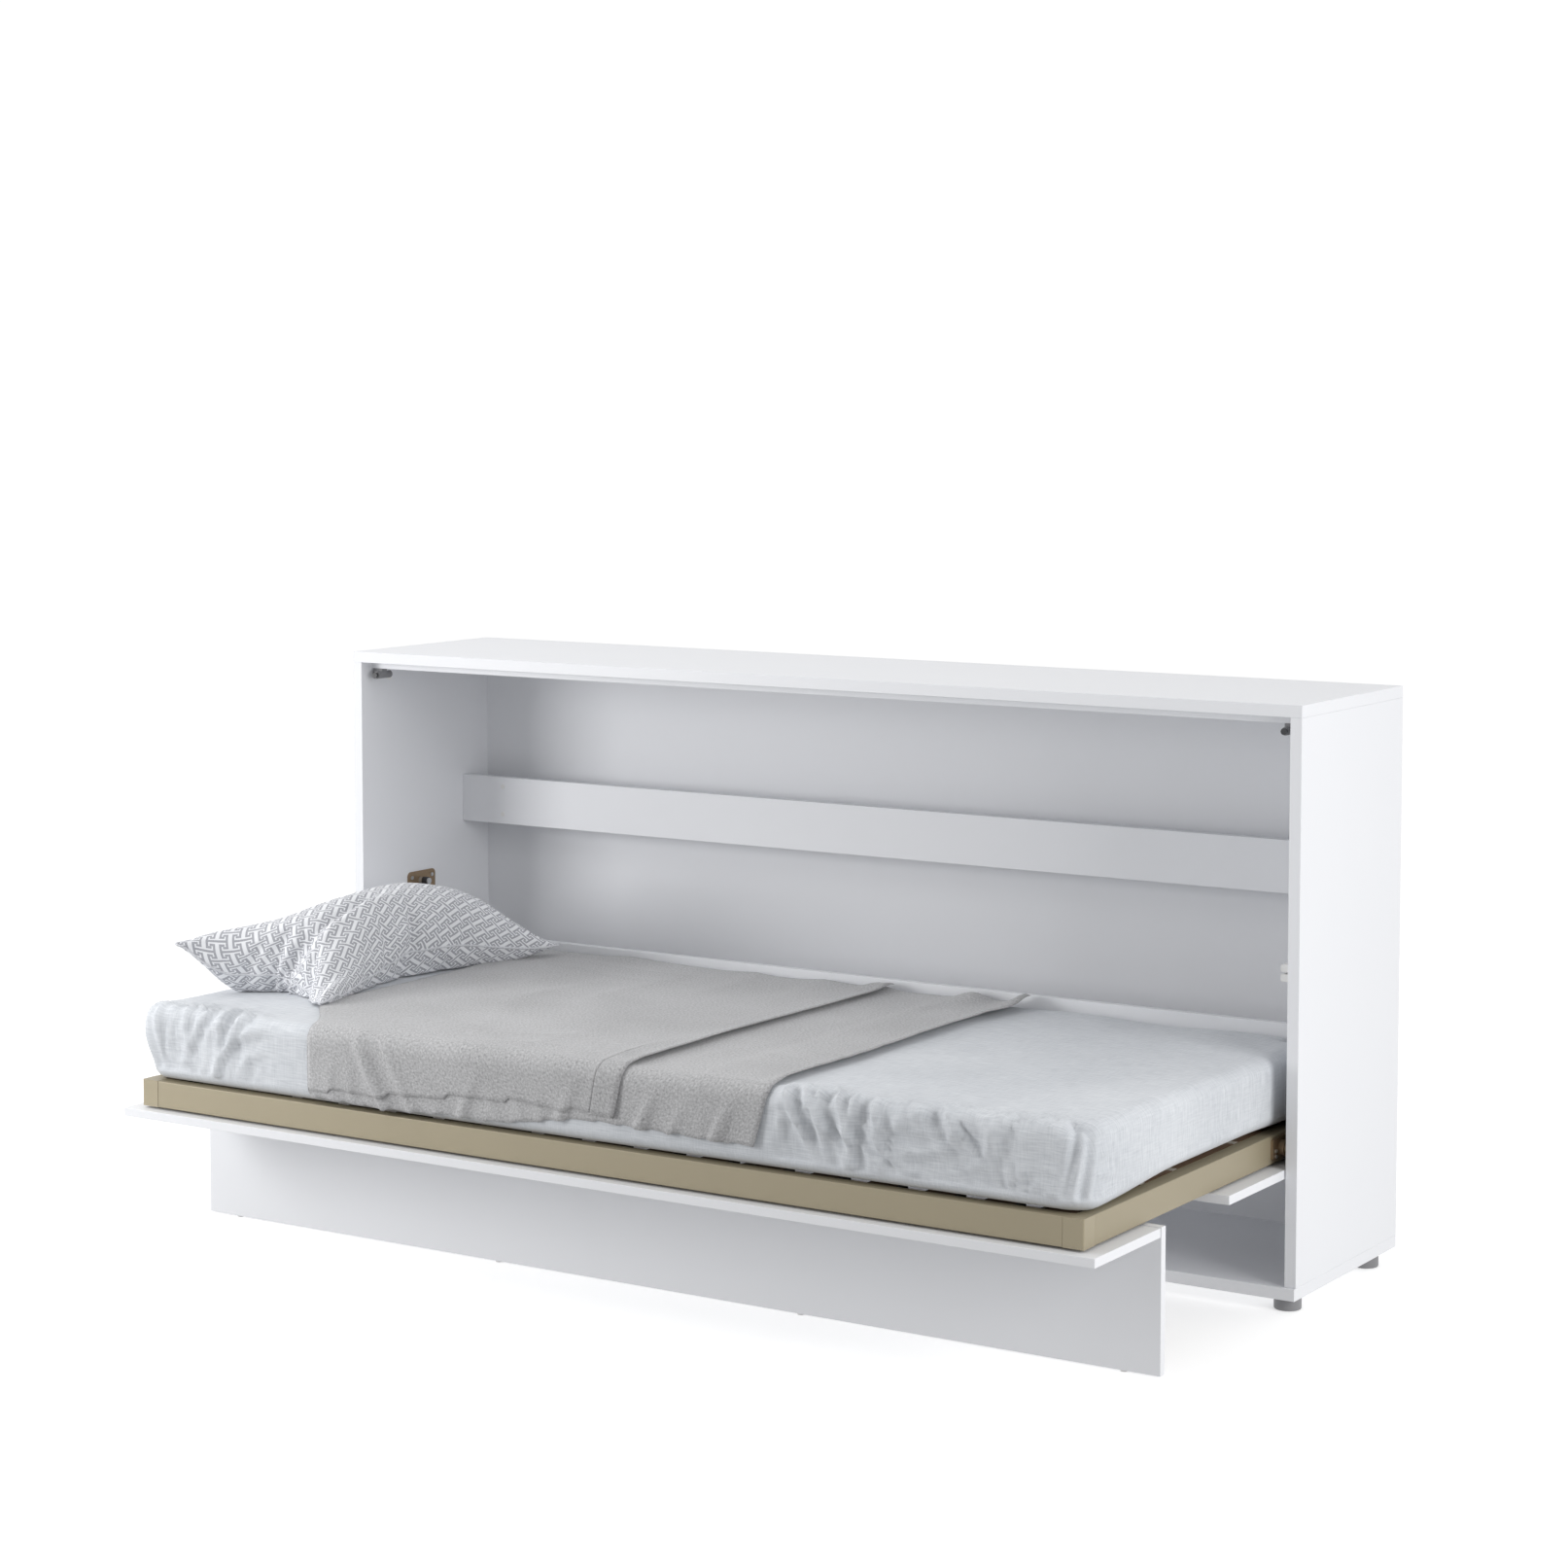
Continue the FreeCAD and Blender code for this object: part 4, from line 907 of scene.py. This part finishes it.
piping_cotton = finish("piping_cotton", (0.62, 0.63, 0.66), 0.8, mottle=0.25, patch=260.0,
                       grain=900.0, lift=0.0002)
corners, faces = round_cord(points[seam], PIPING / 2)
piping = mesh_piece("pillow_piping", corners, faces, "bed", piping_cotton)
weld(piping)
for piece in (pillow, piping):
    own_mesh(piece)


# --- Stage, light and camera ------------------------------------------------------------------
# A white floor that runs out of sight in a white studio, soft lights at the left front, the right
# and overhead, a weak one on the floor under the bed, and a long lens at standing height.

FLOOR_HALF = 40.0
floor_mesh = bpy.data.meshes.new("studio_floor")
floor_corners = [(FLOOR_HALF * x, FLOOR_HALF * y, 0) for x, y in ((-1, -1), (1, -1), (1, 1), (-1, 1))]
floor_mesh.from_pydata(floor_corners, [], [(0, 1, 2, 3)])
floor_paint, shader, *_ = nodes_of("studio_floor_paint")
shader.inputs["Base Color"].default_value = (0.86, 0.86, 0.86, 1)
shader.inputs["Roughness"].default_value = 0.9
shader.inputs["Emission Color"].default_value = (1, 1, 1, 1)
shader.inputs["Emission Strength"].default_value = 0.38
floor_mesh.materials.append(floor_paint)
floor = bpy.data.objects.new("studio_floor", floor_mesh)
bpy.context.scene.collection.objects.link(floor)
floor.visible_diffuse = False

world = bpy.data.worlds.new("studio")
world.use_nodes = True
bpy.context.scene.world = world
air = world.node_tree
background = air.nodes["Background"]
direction = air.nodes.new("ShaderNodeTexCoord").outputs["Generated"]
facing = air.nodes.new("ShaderNodeVectorMath")
facing.operation = "DOT_PRODUCT"
air.links.new(direction, facing.inputs[0])
BRIGHT_SIDE = (-0.54, 0.84, 0.0)
facing.inputs[1].default_value = BRIGHT_SIDE


def fade(value, start, end, low, high):
    """A smooth change of the studio's brightness with direction."""
    node = air.nodes.new("ShaderNodeMapRange")
    node.interpolation_type = "SMOOTHSTEP"
    air.links.new(value, node.inputs["Value"])
    for name, number in zip(("From Min", "From Max", "To Min", "To Max"), (start, end, low, high)):
        node.inputs[name].default_value = number
    return node.outputs["Result"]


height = air.nodes.new("ShaderNodeSeparateXYZ")
air.links.new(direction, height.inputs[0])
strength = air.nodes.new("ShaderNodeMath")
strength.operation = "MAXIMUM"
air.links.new(fade(facing.outputs["Value"], -0.80, 0.70, 0.40, 1.04), strength.inputs[0])
air.links.new(fade(height.outputs["Z"], -0.25, -0.03, 0.48, 0.0), strength.inputs[1])
air.links.new(strength.outputs[0], background.inputs["Strength"])
background.inputs["Color"].default_value = (1, 1, 1, 1)


def soft_box(name, place, aim, size, power):
    """A square soft light at a place, turned to face a point."""
    lamp = bpy.data.lights.new(name, "AREA")
    lamp.shape, lamp.size, lamp.energy = "SQUARE", size, power
    light = bpy.data.objects.new(name, lamp)
    light.location = place
    light.rotation_euler = (Vector(aim) - Vector(place)).to_track_quat("-Z", "Y").to_euler()
    light.visible_camera = False
    bpy.context.scene.collection.objects.link(light)


soft_box("left_front_light", (-2.2, -2.2, 1.1), (-0.8, -0.3, 0.4), 1.2, 40)
soft_box("right_light", (4.4, -0.9, 1.5), (1.0, 0.0, 0.5), 2.2, 84)
soft_box("overhead_light", (-1.3, -0.9, 3.0), (-0.6, -0.1, 0.4), 2.2, 17)
soft_box("under_bed_bounce", (0.35, -0.20, 0.06), (0.45, 0.50, 0.28), 0.5, 0.5)

camera_data = bpy.data.cameras.new("camera")
camera_data.lens = 79.2
camera_data.sensor_width = 36
camera_data.shift_y = -0.10
camera = bpy.data.objects.new("camera", camera_data)
camera.location = (3.495, -5.3255, 1.647)
camera.rotation_euler = np.radians((90 - 4.31, 0, 32.67)).tolist()
bpy.context.scene.collection.objects.link(camera)
bpy.context.scene.camera = camera
bpy.context.scene.view_settings.view_transform = "Standard"

bpy.context.view_layer.update()
